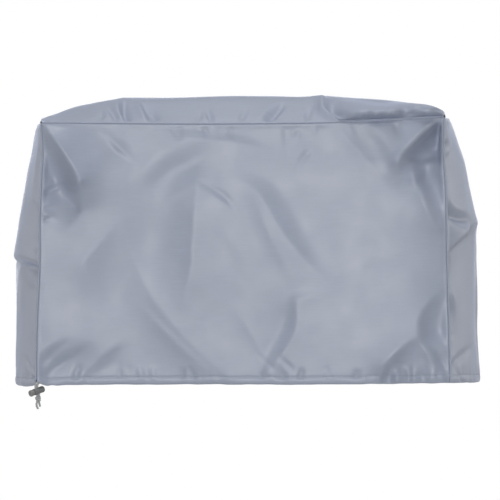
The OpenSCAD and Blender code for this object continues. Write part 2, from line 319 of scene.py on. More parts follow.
def sewn_lines(length, step):
    """Lines across a panel that is sewn at both ends."""
    start = sewn_edge()
    end = start[::-1] * np.array([-1, 1]) + np.array([length, 0])
    count = round((end[0, 0] - start[-1, 0]) / step)
    flat = np.linspace(start[-1, 0], end[0, 0], count + 1)[1:-1]
    return np.vstack([start, np.column_stack([flat, np.zeros(len(flat))]), end])


def bent_line(corners, step):
    """A smooth line through its corners, at about even steps."""
    corners = np.array(corners, float)
    ends = np.vstack([2 * corners[0] - corners[1], corners, 2 * corners[-1] - corners[-2]])
    line = [corners[0]]
    for a, b, c, d in zip(ends, ends[1:], ends[2:], ends[3:]):
        count = max(int(np.linalg.norm(c - b) / step), 2)
        for u in np.linspace(0, 1, count + 1)[1:]:
            bend = 2 * b + (c - a) * u + (2 * a - 5 * b + 4 * c - d) * u**2 + (3 * b - a - 3 * c + d) * u**3
            line.append(bend / 2)
    return np.array(line)


def beside(line, at_s, at_t):
    """The gap from each place to a line, the step over that gap, the side, and the share of the way."""
    steps = np.diff(line, axis=0)
    lengths = np.hypot(*steps.T)
    gap = np.full(at_s.shape, np.inf)
    over_s, over_t, side, share = (np.zeros(at_s.shape) for _ in range(4))
    run = 0.0
    for start, way, length in zip(line, steps, lengths):
        u = np.clip(((at_s - start[0]) * way[0] + (at_t - start[1]) * way[1]) / length**2, 0, 1)
        ds = at_s - start[0] - u * way[0]
        dt = at_t - start[1] - u * way[1]
        off = np.maximum(np.hypot(ds, dt), 1e-9)
        closer = off < gap
        gap = np.where(closer, off, gap)
        over_s = np.where(closer, ds / off, over_s)
        over_t = np.where(closer, dt / off, over_t)
        side = np.where(closer, (way[0] * dt - way[1] * ds) / (length * off), side)
        share = np.where(closer, (run + u * length) / lengths.sum(), share)
        run += length
    return gap, over_s, over_t, side, share


def fold_slopes(s, t, path, fall, wide, strength=(1, 1), soft=False):
    """Slopes of the cloth beside one fold. The path and the widths are in millimetres, and fall is how
    steeply the cloth drops away on each side. The first side lies below a path that goes right, or left
    of a path that goes down."""
    line = bent_line(path, fold_step) * MM
    reach = max(wide) * MM
    low, top = line.min(axis=0) - reach, line.max(axis=0) + reach
    near = (s > low[0]) & (s < top[0]) & (t > low[1]) & (t < top[1])
    gap, over_s, over_t, side, share = beside(line, s[near], t[near])
    grow = np.interp(share, np.linspace(0, 1, len(strength)), strength)
    lean = 0.5 + 0.5 * side
    width = (wide[1] + (wide[0] - wide[1]) * lean) * MM * (weak_fold + (1 - weak_fold) * grow)
    q = np.minimum(gap / width, 1)
    body = np.sin(math.pi * q) if soft else 1 - q * q
    drop = (fall[0] * np.maximum(side, 0) + fall[1] * np.maximum(-side, 0)) * grow * body
    slope_s, slope_t = np.zeros(s.shape), np.zeros(s.shape)
    slope_s[near] = -drop * over_s
    slope_t[near] = -drop * over_t
    return slope_s, slope_t


def fold_heights(s, t, folds, pinned, level_reach):
    """Heights of the cloth whose slopes come closest to those of all its folds, and to flat elsewhere."""
    first, last = np.argmin(t[:, 0]), np.argmax(t[:, 0])
    left, right = np.argmin(s[0]), np.argmax(s[0])
    block = (slice(first, last + 1), slice(left, right + 1))
    at_s, at_t = s[block], t[block]
    slope_s, slope_t = (sum(each) for each in zip(*(fold_slopes(at_s, at_t, *fold) for fold in folds)))
    ds, dt = np.diff(at_s, axis=1), np.diff(at_t, axis=0)
    cell_s = np.gradient(at_s[0])[None, :]
    cell_t = np.gradient(at_t[:, 0])[:, None]
    across, down = cell_t / ds, cell_s / dt
    hold = cell_s * cell_t / level_reach**2
    free = ~pinned[block]

    def pulled(h, want_s, want_t):
        pull_s = across * (np.diff(h, axis=1) - want_s)
        pull_t = down * (np.diff(h, axis=0) - want_t)
        total = hold * h
        total[:, 1:] += pull_s
        total[:, :-1] -= pull_s
        total[1:] += pull_t
        total[:-1] -= pull_t
        return total * free

    height = np.zeros(at_s.shape)
    want_s = (slope_s[:, 1:] + slope_s[:, :-1]) / 2 * ds
    want_t = (slope_t[1:] + slope_t[:-1]) / 2 * dt
    rest = -pulled(height, want_s, want_t)
    way = rest.copy()
    size = (rest * rest).sum()
    for _ in range(solver_rounds):
        pull = pulled(way, 0, 0)
        step = size / (way * pull).sum()
        height += step * way
        rest -= step * pull
        next_size = (rest * rest).sum()
        way = rest + next_size / size * way
        size = next_size
    whole = np.zeros(s.shape)
    whole[block] = height
    for row in range(last + 1, len(t)):
        below = np.clip(np.searchsorted(at_t[:, 0], t[row, 0]), 1, len(at_t) - 1)
        u = (t[row, 0] - at_t[below - 1, 0]) / dt[below - 1, 0]
        whole[row] = whole[first + below - 1] * (1 - u) + whole[first + below] * u
    return whole


def soften(height):
    """Rounds off the edges of folds over about one cell of the cloth."""
    for _ in range(2):
        before = np.concatenate([height[:1], height[:-1]])
        after = np.concatenate([height[1:], height[-1:]])
        height = ((before + after) / 4 + height / 2).T
    return height


def wander(s, t, size, seed):
    """Smooth seeded noise between -1 and 1 whose humps are about one size across."""
    draw = np.random.default_rng(seed)
    grid = draw.uniform(-1, 1, (int(t.max() / size) + 3, int(s.max() / size) + 3))
    i = np.clip((t / size).astype(int), 0, grid.shape[0] - 2)
    j = np.clip((s / size).astype(int), 0, grid.shape[1] - 2)
    a = ease(t / size - i)
    b = ease(s / size - j)
    upper = grid[i, j] * (1 - b) + grid[i, j + 1] * b
    lower = grid[i + 1, j] * (1 - b) + grid[i + 1, j + 1] * b
    return upper * (1 - a) + lower * a


def puckers(s, t, seed, count, start, end, reach, high):
    """Short seeded creases that leave a seam, between two places on it in millimetres. reach gives the
    longest way from the seam, across and down."""
    draw = np.random.default_rng(seed)
    total = np.zeros(s.shape)
    for _ in range(count):
        k = draw.uniform()
        foot = np.array(start) * (1 - k) + np.array(end) * k
        out = np.array(reach) * draw.uniform(*pucker_reach)
        tip = foot + out + draw.uniform(-pucker_slant, pucker_slant) * np.array([-out[1], out[0]])
        width = draw.uniform(*pucker_wide)
        size = high * draw.uniform(*pucker_high) * MM
        line = np.array([foot, tip]) * MM
        low, top = line.min(axis=0) - width, line.max(axis=0) + width
        near = (s > low[0]) & (s < top[0]) & (t > low[1]) & (t < top[1])
        gap, _, _, _, share = beside(line, s[near], t[near])
        total[near] += size * (1 - share**3) * (1 - np.minimum(gap / width, 1) ** 2) ** 2
    return total


def creased(s, t, folds, pinned, level_reach, creases, waves, seed):
    """Heights of the folds, of the creases along the seams and of soft waves, each with the next seed."""
    height = fold_heights(s, t, folds, pinned, level_reach)
    for crease in creases:
        height = height + puckers(s, t, seed, *crease)
        seed += 1
    for high, size in waves:
        height = height + high * MM * wander(s, t, size * MM, seed)
        seed += 1
    return soften(height)


def seam_pins(s, t, width, length):
    """True along the seams, where the cloth can't lift."""
    return np.minimum(np.minimum(s, width - s), np.minimum(t, length - t)) < seam_hold + seam_open


def cloth_piece(name, across, down, place, lie, keep):
    """A sheet of cloth over a grid of lines, with the cut cloth's own lengths, in metres, as its UV map.
    The turned-in edges lie level, so that the corner seams close."""
    s, t = np.meshgrid(across[:, 0], down[:, 0])
    lift = lie(s, t)
    lift[:, across[:, 1] > 0] = 0
    lift[:len(sewn_edge())] = 0
    depth = across[:, 1][None, :] + down[:, 1][:, None] - lift
    points = place(s, t, depth)
    rows, cols = s.shape
    at = np.arange(rows * cols).reshape(rows, cols)
    quads = np.stack([at[:-1, :-1], at[1:, :-1], at[1:, 1:], at[:-1, 1:]], axis=-1)
    quads = quads[keep(across, down)]
    used, faces = np.unique(quads, return_inverse=True)
    mesh = bpy.data.meshes.new(name)
    mesh.from_pydata(points.reshape(-1, 3)[used].tolist(), [], faces.reshape(-1, 4).tolist())
    flat_s = np.concatenate([[0], np.hypot(*np.diff(across, axis=0).T).cumsum()])
    flat_t = np.concatenate([[0], np.hypot(*np.diff(down, axis=0).T).cumsum()])
    flat = np.stack(np.meshgrid(flat_s, flat_t), axis=-1).reshape(-1, 2)
    cut = mesh.uv_layers.new(name="cut")
    cut.data.foreach_set("uv", flat[quads.ravel()].astype(np.float32).ravel())
    mesh.shade_smooth()
    mesh.materials.append(cloth_material)
    piece = place_object(name, mesh)
    wall = piece.modifiers.new("cloth", "SOLIDIFY")
    wall.thickness = cloth_t
    wall.offset = -1
    return piece, points, (flat_s[-1], flat_t[-1])


def new_finish(name):
    """A new material, its node tree and its shader."""
    material = bpy.data.materials.new(name)
    material.use_nodes = True
    return material, material.node_tree, material.node_tree.nodes["Principled BSDF"]


def noise(tree, place, scale, detail):
    inputs = {"Vector": place, "Scale": scale, "Detail": detail}
    return add_node(tree, "ShaderNodeTexNoise", inputs).outputs[0]


def set_finish(tree, shader, share, dark, pale, rough, bump=None):
    """Gives a shader a colour between two tones, a roughness and, where there is one, a relief."""
    colour = add_node(tree, "ShaderNodeMix", {"Factor": share, "A": dark, "B": pale}, data_type="RGBA")
    tree.links.new(colour.outputs["Result"], shader.inputs["Base Color"])
    tree.links.new(rough.outputs[0], shader.inputs["Roughness"])
    if bump:
        tree.links.new(bump.outputs[0], shader.inputs["Normal"])


def coated_cloth(name, shine):
    """Coated plain weave: fine yarns both ways on the cut's own UV, with paler, shinier patches."""
    material, tree, shader = new_finish(name)
    cut = add_node(tree, "ShaderNodeUVMap", uv_map="cut").outputs[0]
    bands = []
    for direction in ("X", "Y"):
        bands.append(add_node(
            tree, "ShaderNodeTexWave",
            {"Vector": cut, "Scale": math.pi / 10 / yarn_pitch, "Distortion": yarn_waver, "Detail": 1.0},
            bands_direction=direction,
        ).outputs["Fac"])
    weave = add_node(tree, "ShaderNodeMath", {0: bands[0], 1: bands[1]}, operation="MULTIPLY")
    slub = add_node(tree, "ShaderNodeMapping", {"Vector": cut, "Scale": slub_stretch})
    thick = noise(tree, slub.outputs[0], 1.0, 3.0)
    cloud = noise(tree, cut, cloud_grain, 4.0)
    tone = add_node(tree, "ShaderNodeMath", {0: thick, 1: cloud}, operation="MULTIPLY")
    spread = add_node(tree, "ShaderNodeMapRange", {0: tone.outputs[0], 1: 0.15, 2: 0.40})
    rough = add_node(
        tree, "ShaderNodeMapRange", {0: cloud, 1: 0.3, 2: 0.7, 3: shine, 4: shine + patch_rough}
    )
    bump = add_node(
        tree, "ShaderNodeBump",
        {"Height": weave.outputs[0], "Strength": yarn_bump, "Distance": yarn_depth},
    )
    set_finish(tree, shader, spread.outputs[0], cloth_colour, cloth_pale, rough, bump)
    shader.inputs["Specular IOR Level"].default_value = cloth_specular
    shader.inputs["Sheen Weight"].default_value = sheen_weight
    shader.inputs["Sheen Roughness"].default_value = sheen_rough
    shader.inputs["Sheen Tint"].default_value = cloth_sheen
    return material


cloth_material = coated_cloth("coated_cloth", cloth_rough)

# Each fold: its path, the fall and the width on its two sides, and its strength along the path
top_folds = (
    # Creases that fall from the left peak to the front seam
    ([(129, 380), (127, 393), (128, 407), (135, 427)], (-3.6, -1.2), (10, 8), (0.3, 0.9, 1.0, 0.7)),
    ([(148, 382), (152, 396), (158, 412), (163, 428)], (0.3, 3.2), (10, 8), (0.2, 0.9, 1.0, 0.6)),
    ([(104, 398), (119, 427)], (-3.0, -2.4), (9, 8), (0.3, 1.0)),
    # Slanting crease in the middle and ridge from the right peak to the seam, steep on its right
    ([(366, 398), (354, 412), (337, 428)], (-1.8, -2.4), (12, 9), (0.6, 1.0, 0.7)),
    ([(427, 380), (428, 406), (440, 418), (450, 428)], (0.8, 2.4), (12, 24), (0.4, 1.0, 0.9, 0.5)),
    # Ridge near the right corner
    ([(568, 380), (566, 404), (560, 426)], (0.6, 1.1), (14, 14), (0.3, 0.8, 0.1)),
    # Small tucks along the front seam
    ([(90, 428), (96, 404)], (-2.6, -2.6), (6, 7), (1.0, 0.3)),
    ([(178, 428), (170, 402)], (-2.6, -2.8), (6, 7), (1.0, 0.3)),
    ([(238, 428), (244, 406)], (-2.8, -2.6), (6, 6), (1.0, 0.3)),
    ([(262, 428), (252, 400)], (-2.8, -2.8), (6, 7), (1.0, 0.3)),
    ([(302, 428), (312, 404)], (-2.6, -2.6), (7, 6), (1.0, 0.3)),
    ([(402, 428), (410, 402)], (-2.6, -2.6), (6, 7), (1.0, 0.3)),
    ([(486, 400), (484, 428)], (-0.9, -0.9), (7, 7), (0.3, 1.0)),
    ([(506, 402), (512, 428)], (-0.9, -0.9), (7, 9), (0.3, 1.0)),
    ([(528, 404), (524, 428)], (-0.9, -0.9), (7, 7), (0.3, 1.0)),
    ([(584, 400), (590, 428)], (-0.9, -0.9), (7, 8), (0.3, 1.0)),
    # Soft lie of the rest
    ([(30, 400), (80, 330)], (0.12, 0.12), (26, 26), (0.3, 1, 0.2), True),
    ([(126, 120), (110, 70), (60, 20)], (0.3, 0.1), (26, 40), (1, 0.8, 0.2)),
    ([(430, 120), (470, 70), (560, 20)], (0.1, 0.3), (40, 26), (1, 0.8, 0.2)),
    ([(300, 20), (310, 60), (290, 110)], (-0.3, -0.2), (16, 24), (1, 0.8, 0.1)),
    ([(130, 130), (210, 170), (330, 150)], (0.1, 0.1), (30, 60), (0.2, 1.0, 0.1), True),
    ([(220, 300), (320, 270), (430, 310)], (0.1, 0.1), (60, 30), (0.2, 1.0, 0.1), True),
)
# Rows of small creases along the seams: count, start, end, longest reach and height
top_creases = (
    (30, (10, 426), (604, 426), (0, -14), 2.0),
    (34, (10, 6), (604, 6), (0, 26), 2.2),
    (22, (6, 10), (6, 420), (26, 0), 2.2),
    (22, (608, 10), (608, 420), (-26, 0), 2.2),
)
top_waves = ((0.8, 70),)
top_seed = 11


def lid_edge(share):
    """The rise of cloth that is drawn up steeply and then over the edge of a lid."""
    share = np.maximum(share, 0)
    return share / (1 + share**lid_sharp) ** (1 / lid_sharp)


def bowed(y):
    """The share of a side panel's bow at a place on its depth."""
    return rise((half_d - np.abs(y) - turned_in) / bow_run)


def top_lie(s, t):
    pinned = seam_pins(s, t, cover_w, cover_d)
    height = creased(s, t, top_folds, pinned, top_level, top_creases, top_waves, top_seed)
    inside = np.minimum(np.minimum(s, cover_w - s), np.minimum(t, cover_d - t))
    return height * ease((inside - seam_flat) / edge_fade)


def top_place(s, t, depth):
    share = s / cover_w
    y = half_d - t
    left = left_seam(0.0) - left_out * bowed(y)
    right = right_seam(0.0) + right_out * bowed(y)
    x = left * (1 - share) + right * share
    inwards = half_d + y - seam_flat
    front = lid_edge(inwards / front_run)
    back = rise((half_d - y - seam_flat) / crown_run)
    behind = ease((inwards - behind_from) / behind_run)
    crown = crown_line(x) * (1 - behind) + crown_behind(x) * behind
    lifted = crown * np.where(y < 0, front, back)
    puff = front_puff(x) * np.sin(np.clip(inwards / puff_run(x), 0, 1) * math.pi)
    puff = puff + crumple * np.minimum(puff, crumple_most) * wander(s, t, crumple_size, crumple_seed)
    return np.stack([x, y - puff, top_seam(x) + lifted - depth], axis=-1)


def no_double_corners(across, down):
    """Leaves out the corner squares where two turned-in allowances would cross."""
    turned_s = np.maximum(across[:-1, 1], across[1:, 1]) > turned_depth
    turned_t = np.maximum(down[:-1, 1], down[1:, 1]) > turned_depth
    return ~(turned_s[None, :] & turned_t[:, None])


top_cloth, _, top_flat = cloth_piece(
    "top_cloth", sewn_lines(cover_w, cell), sewn_lines(cover_d, cell), top_place, top_lie, no_double_corners
)
top_cloth.data.materials[0] = coated_cloth("weathered_cloth", weathered_rough)
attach(top_cloth, "cover")
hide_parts("top_panel")

# Front panel: a rectangle of the same cloth, sewn along its top and sides. Its lower edge is folded
# up inside and stitched, which makes the hem tunnel that the drawcord runs in.
hem_h = 13 * MM
hem_r = 2.5 * MM
under_depth = 1.01 * hem_r
hem_turns = np.radians(np.arange(0, 181, 22.5))
hem_steps = np.array([18, 15.5, 14, 13, 12, 11, 10, 8.5, 7, 5, 3.6]) * MM
ply_rows = 4
ply_depth = 0.9 * MM
ply_slack = 1 * MM
stitch_up = 12 * MM
stitch_dip = 0.45 * MM
dip_wide = 1.1 * MM
tunnel_swell = 0.6 * MM
swell_up = 6.5 * MM
swell_wide = 3.2 * MM
gather_long = 13 * MM
gather_short = 6 * MM
short_share = 0.6
gather_up = 9 * MM
gather_wide = 12 * MM
hem_wave = 0.45 * MM
hem_wave_long = 15 * MM
sag_from = 34 * MM
sag_run = 30 * MM
corner_clear = 10.6 * MM
exit_clear = 22 * MM
exit_h = 7 * MM
slack_from = 8 * MM
slack_to = 70 * MM
wall_level = 250 * MM
front_seed = 21
front_sag_seed = 29
hem_low = smooth_line([
    (-313, -437), (-200, -436.4), (-80, -436.2), (60, -436.3), (130, -436), (200, -435), (313, -433.4),
])
front_gather = smooth_line([
    (0, 1.2), (40, 0.8), (480, 0.8), (505, 1.2), (518, 3.6), (560, 3.6), (585, 2.0), (614, 0.9),
])
front_sag = smooth_line([
    (0, -1.0), (6, -2.0), (11, -1.2), (18, 0.9), (25, -0.2), (32, 0.6), (44, 0), (60, 0.2), (80, 0),
    (614, 0),
])


def hem_lines(step):
    """Lines down a wall: sewn edge, wall, half-round fold of the hem, and its inner ply up inside."""
    start = sewn_edge()
    last = wall_h - hem_steps[0]
    flat = np.linspace(start[-1, 0], last, round((last - start[-1, 0]) / step) + 1)[1:-1]
    wall = np.concatenate([flat, wall_h - hem_steps])
    folded = np.column_stack([
        wall_h - hem_r + hem_r * np.sin(hem_turns), hem_r * (1 - np.cos(hem_turns)),
    ])
    ups = np.linspace(hem_r, hem_h, ply_rows + 1)[1:]
    ply = np.column_stack([wall_h - ups, np.interp(ups, [hem_r, hem_h], [2 * hem_r, ply_depth])])
    return np.vstack([start, np.column_stack([wall, np.zeros(len(wall))]), folded, ply])


def hump(up, middle, wide):
    """A rounded swell along the hem, 1 high at its middle."""
    return np.exp(-(((up - middle) / wide) ** 2))


def hem_shape(t):
    """The dip along the stitches and the swell of the tunnel below them."""
    up = wall_h - t
    return tunnel_swell * hump(up, swell_up, swell_wide) - stitch_dip * hump(up, stitch_up, dip_wide)


def hem_gathers(s, t, size, seed):
    """Small seeded waves that the stitching draws into the hem and the cloth just above it."""
    level = np.zeros_like(s)
    wave = wander(s, level, gather_long, seed) + short_share * wander(s, level, gather_short, seed + 1)
    return size * wave * hump(wall_h - t, gather_up, gather_wide)


def hem_drop(s, t, sag, seed):
    """How far the hem's lower edge hangs below its straight line, fading out above the hem."""
    wave = hem_wave * wander(s, np.zeros_like(s), hem_wave_long, seed)
    return (sag(s) + wave) * ease((t - wall_h + sag_from) / sag_run)


def wall_lie(width, folds, creases, waves, gather, seed, slack=None):
    """How far each place of a wall stands out: its folds, seam creases and waves, and then its hem."""

    def lie(s, t):
        pinned = seam_pins(s, t, width, 2 * wall_h)
        if slack:
            pinned &= ~slack(s, t)
        height = creased(s, t, folds, pinned, wall_level, creases, waves, seed)
        height = height + hem_gathers(s, t, gather(s), seed + len(creases) + len(waves)) + hem_shape(t)
        inside = np.minimum(np.minimum(s, width - s), t)
        return height * ease((inside - seam_flat) / edge_fade)

    return lie


def wall_keep(width, left_open, right_open):
    """Leaves the hem open in the corners where the cord turns, and wider where it comes out."""

    def keep(across, down):
        s = (across[:-1, 0] + across[1:, 0]) / 2
        up = wall_h - (down[:-1, 0] + down[1:, 0]) / 2
        from_end = np.minimum(s, width - s)
        at_exit = np.where(s < width / 2, left_open, right_open)
        no_ply = from_end < np.where(at_exit, exit_clear, corner_clear)
        no_fold = at_exit & (from_end < corner_clear)
        turned = np.maximum(across[:-1, 1], across[1:, 1]) > turned_depth
        raw = np.minimum(across[:-1, 1], across[1:, 1]) > 2 * seam_roll
        past = np.arange(len(down) - 1) >= np.argmax(down[:, 0])
        under = past & (down[1:, 1] > under_depth)
        low = up < hem_h + ply_slack
        folded = low & (np.maximum(down[:-1, 1], down[1:, 1]) > 0)
        cut = (under[:, None] & no_ply) | (folded[:, None] & no_fold)
        cut |= (low[:, None] & raw) | ((up < exit_h)[:, None] & turned & at_exit)
        return no_double_corners(across, down) & ~cut

    return keep


front_folds = (
    # Two pockets under the top left corner, with a ridge between them
    ([(3, 2), (34, 46), (61, 88)], (2.2, -0.16), (38, 80), (1.2, 1.0, 0.9)),
    ([(61, 88), (66, 112), (60, 140), (40, 164)], (0.55, 0), (44, 10), (1.0, 1.0, 0.6, 0.1)),
    ([(60, 90), (36, 96), (6, 100)], (0.45, 0.55), (16, 16), (1.0, 0.9, 0.4)),
    # Crinkles between them and the left seam
    ([(7, 108), (24, 99), (52, 95)], (-1.5, -1.3), (6, 8), (1.3, 1.0, 0.3)),
    ([(5, 120), (17, 105)], (-1.6, -1.5), (5, 6), (1.0, 0.7)),
    ([(7, 146), (24, 142)], (-1.3, -1.3), (6, 6), (1.0, 0.3)),
    ([(44, 116), (58, 131)], (-1.0, -0.8), (6, 9), (0.4, 1.0)),
    # Thin crease in the upper left and the slope above it
    ([(98, 19), (115, 36), (139, 56)], (0.7, 0.2), (9, 18), (0.2, 1.0, 0.2)),
    # Peak left of the middle: an edge down from it, an arm to the left and a crease to the right
    (
        [(239, 92), (235, 123), (232, 168), (228, 218), (214, 284)], (0.34, 0), (76, 10),
        (0.5, 0.9, 1.0, 0.8, 0.0),
    ),
    ([(246, 86), (212, 102), (174, 128)], (0.14, 0.04), (40, 20), (0.8, 1.0, 0.1)),
    ([(242, 14), (192, 34), (154, 68)], (0, 0.30), (10, 58), (0.4, 1.0, 0.4), True),
    ([(242, 90), (276, 110), (300, 138)], (-0.5, -0.26), (9, 13), (0.5, 1.0, 0.1)),
    # Long slanting ridge right of the middle, with a slope on each side
    (
        [(290, 80), (329, 106), (364, 160), (396, 204), (440, 246)], (0, 0.28), (10, 36),
        (0.0, 1.0, 1.0, 0.8, 0.0),
    ),
    ([(318, 100), (344, 163), (374, 223), (388, 256)], (0.15, 0), (28, 10), (0.1, 1.0, 0.8, 0.0)),
    ([(255, 144), (299, 178), (330, 244)], (0.10, 0), (36, 10), (0.1, 1.0, 0.1), True),
    # Cloth that hangs in from the top seam near both corners
    ([(6, 1), (90, 1), (200, 1)], (0.26, 0), (64, 10), (0.8, 1.0, 0.2)),
    ([(390, 1), (500, 1), (560, 1)], (0.24, 0), (60, 10), (0.1, 1.0, 0.8)),
    # Short creases and a dark band under the top seam
    ([(386, 72), (405, 47)], (-0.5, -0.4), (7, 9), (0.3, 1.0)),
    ([(372, 3), (374, 62)], (-0.22, -0.22), (10, 10), (1.0, 0.2), True),
    ([(226, 24), (300, 30), (350, 44)], (0, 0.3), (10, 20), (0.1, 1.0, 0.1)),
    ([(150, 6), (200, 22), (262, 30)], (0, 0.16), (10, 24), (0.2, 1.0, 0.2), True),
    # Soft slanting folds in the upper right
    ([(440, 0), (480, 44), (526, 98)], (0, 0.32), (10, 36), (0.3, 1.0, 0.1)),
    ([(478, 4), (512, 30), (536, 60)], (0, 0.36), (10, 46), (0.4, 1.0, 0.3), True),
    # Two pockets under the top right corner
    ([(604, 2), (572, 30), (540, 62)], (-0.05, 1.75), (60, 30), (1.6, 1.3, 0.9)),
    ([(540, 64), (570, 68), (606, 74)], (0.6, 0.5), (16, 16), (0.9, 0.9, 0.4)),
    ([(562, 86), (578, 120), (597, 164)], (-0.1, 1.7), (50, 28), (1.0, 1.0, 0.4)),
    ([(564, 92), (588, 68)], (0.8, 0), (16, 8), (1.0, 0.4)),
    ([(588, 45), (607, 61)], (-1.0, -1.0), (6, 8), (0.3, 1.0)),
    ([(584, 58), (607, 63)], (-0.9, -0.9), (6, 6), (0.3, 1.0)),
    # Diamond at the left, whose left corner lets the cloth fall into a wide swag to the bottom
    ([(118, 148), (94, 178), (64, 214)], (0, 0.24), (10, 80), (0.2, 1.0, 1.0)),
    (
        [(124, 140), (139, 196), (179, 272), (229, 332), (284, 382)], (0.15, 0), (62, 10),
        (0.3, 0.9, 1.0, 1.0, 0.7),
    ),
    ([(150, 268), (199, 322), (252, 370)], (0.05, 0.16), (18, 13), (0.1, 1.0, 0.6)),
    # Upright fold below the middle with a hook at its top, and small creases above the hem
    (
        [(386, 258), (386, 298), (379, 323), (359, 353), (342, 376)], (0.57, 0), (23, 10),
        (0.1, 1.0, 1.0, 0.9, 0.2),
    ),
    ([(385, 267), (428, 255)], (0.14, 0.16), (30, 16), (1.0, 0.1)),
    ([(289, 272), (324, 323), (348, 370)], (0.16, 0), (28, 10), (0.1, 1.0, 0.4)),
    ([(356, 348), (377, 369)], (-0.6, -0.4), (6, 8), (0.2, 1.0)),
    ([(327, 346), (348, 368)], (-0.5, -0.4), (6, 8), (0.2, 1.0)),
    # Creases that fan out of the bottom left corner
    ([(1, 379), (14, 359), (46, 328)], (-0.12, -0.7), (10, 18), (0.8, 1.0, 0.1)),
    ([(10, 382), (37, 363), (80, 336)], (-0.12, -0.7), (12, 18), (0.7, 1.0, 0.1)),
    ([(76, 372), (100, 350), (126, 330)], (0.45, 0), (24, 10), (0.4, 1.0, 0.1)),
    ([(2, 290), (44, 312), (92, 322)], (0.24, 0), (60, 10), (0.6, 1.0, 0.4), True),
    ([(124, 362), (124, 380)], (-0.45, -0.45), (5, 6), (0.4, 1.0)),
    # Gathers at the bottom right, where the drawcord bunches the hem
    ([(512, 370), (534, 347), (560, 326)], (1.3, 0), (25, 10), (0.9, 1.0, 0.3)),
    (
        [(598, 258), (577, 282), (567, 306), (570, 332), (582, 350), (600, 384)], (-0.05, 1.0), (30, 36),
        (0.2, 0.8, 1.0, 1.2, 1.3, 0.6),
    ),
    ([(586, 340), (598, 360), (609, 382)], (-0.2, -1.4), (12, 20), (0.2, 1.0, 0.9)),
    ([(514, 366), (513, 393)], (-0.8, -0.6), (6, 8), (0.6, 1.0)),
    ([(530, 372), (528, 394)], (-0.6, -0.6), (5, 6), (0.5, 1.0)),
    ([(538, 368), (539, 394)], (0.6, 0.6), (5, 6), (0.4, 1.0)),
    ([(552, 370), (550, 394)], (-0.6, -0.6), (6, 7), (0.4, 1.0)),
    ([(574, 355), (577, 394)], (-0.6, -0.6), (6, 8), (0.6, 1.0)),
    ([(590, 372), (591, 394)], (0.6, 0.6), (6, 6), (0.4, 1.0)),
)
front_creases = (
    (26, (12, 5), (600, 5), (0, 24), 1.8),
    (14, (5, 80), (5, 160), (26, 0), 3.0),
    (12, (609, 36), (609, 110), (-26, 0), 3.0),
    (34, (10, 382), (604, 382), (0, -20), 2.4),
)
front_waves = ((0.8, 90), (0.2, 24))


def front_slack(s, t):
    """True beside the upper right seam, where the pockets under the corner pull at it."""
    return (s > cover_w / 2) & (t > slack_from) & (t < slack_to)


def front_place(s, t, depth):
    share = s / cover_w
    x = left_seam(t) * (1 - share) + right_seam(t) * share
    z = top_seam(x) + (hem_low(x) - top_seam(x)) * t / wall_h - hem_drop(s, t, front_sag, front_sag_seed)
    return np.stack([x, depth - half_d, z], axis=-1)


front_cloth, front_points, front_flat = cloth_piece(
    "front_cloth", sewn_lines(cover_w, cell), hem_lines(cell), front_place,
    wall_lie(cover_w, front_folds, front_creases, front_waves, front_gather, front_seed, front_slack),
    wall_keep(cover_w, True, False),
)
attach(front_cloth, "cover")
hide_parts("front_panel")

# Back panel: the same rectangle as the front, sewn along its top and sides and hemmed in the same way,
# with shallower folds of its own.
back_seed = 31
plain_gather = smooth_line([(0, 0.9), (614, 0.9)])
back_folds = (
    ([(3, 3), (34, 40), (62, 74)], (0.4, 0), (38, 10), (0.3, 0.9, 1.0)),
    ([(62, 76), (30, 84), (6, 92)], (0.3, 0.3), (14, 16), (1.0, 0.8, 0.3)),
    ([(611, 3), (580, 44), (560, 92)], (0, 0.45), (10, 38), (0.3, 0.9, 1.0)),
    ([(562, 94), (584, 100), (608, 110)], (0.3, 0.3), (16, 14), (1.0, 0.8, 0.3)),
    ([(170, 40), (205, 120), (214, 220), (200, 290)], (0.24, 0), (50, 10), (0.1, 1.0, 0.8, 0.0)),
    ([(172, 42), (140, 70), (110, 110)], (0.2, 0), (40, 10), (0.4, 1.0, 0.1)),
    ([(300, 60), (350, 130), (424, 196)], (0, 0.26), (10, 34), (0.1, 1.0, 0.1)),
    ([(424, 228), (410, 300), (380, 372)], (0.34, 0), (24, 10), (0.2, 1.0, 0.5)),
    ([(90, 230), (150, 320), (210, 378)], (0.22, 0), (56, 10), (0.1, 1.0, 0.6)),
    ([(480, 240), (530, 320), (600, 380)], (0, 0.24), (10, 50), (0.1, 1.0, 0.7)),
    ([(4, 384), (30, 352), (66, 326)], (-0.34, -0.26), (12, 16), (1.0, 0.8, 0.1)),
    ([(610, 384), (580, 356), (556, 322)], (-0.26, -0.34), (16, 12), (1.0, 0.8, 0.1)),
    ([(300, 300), (312, 340), (306, 384)], (-0.26, -0.3), (10, 8), (0.1, 1.0, 0.8)),
    ([(450, 360), (456, 392)], (-0.4, -0.4), (7, 8), (0.3, 1.0)),
    ([(116, 364), (110, 392)], (-0.4, -0.4), (6, 8), (0.3, 1.0)),
)
back_creases = (
    (26, (12, 5), (600, 5), (0, 24), 1.4),
    (14, (5, 20), (5, 370), (22, 0), 1.5),
    (14, (609, 20), (609, 370), (-22, 0), 1.5),
    (34, (10, 382), (604, 382), (0, -22), 1.8),
)
back_waves = ((2.4, 90), (0.45, 24))


def back_place(s, t, depth):
    share = s / cover_w
    x = right_seam(t) * (1 - share) + left_seam(t) * share
    z = top_seam(x) + (hem_low(x) - top_seam(x)) * t / wall_h
    return np.stack([x, half_d - depth, z], axis=-1)


back_cloth, back_points, back_flat = cloth_piece(
    "back_cloth", sewn_lines(cover_w, coarse_cell), hem_lines(coarse_cell), back_place,
    wall_lie(cover_w, back_folds, back_creases, back_waves, plain_gather, back_seed),
    wall_keep(cover_w, False, False),
)
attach(back_cloth, "cover")
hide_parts("back_panel")

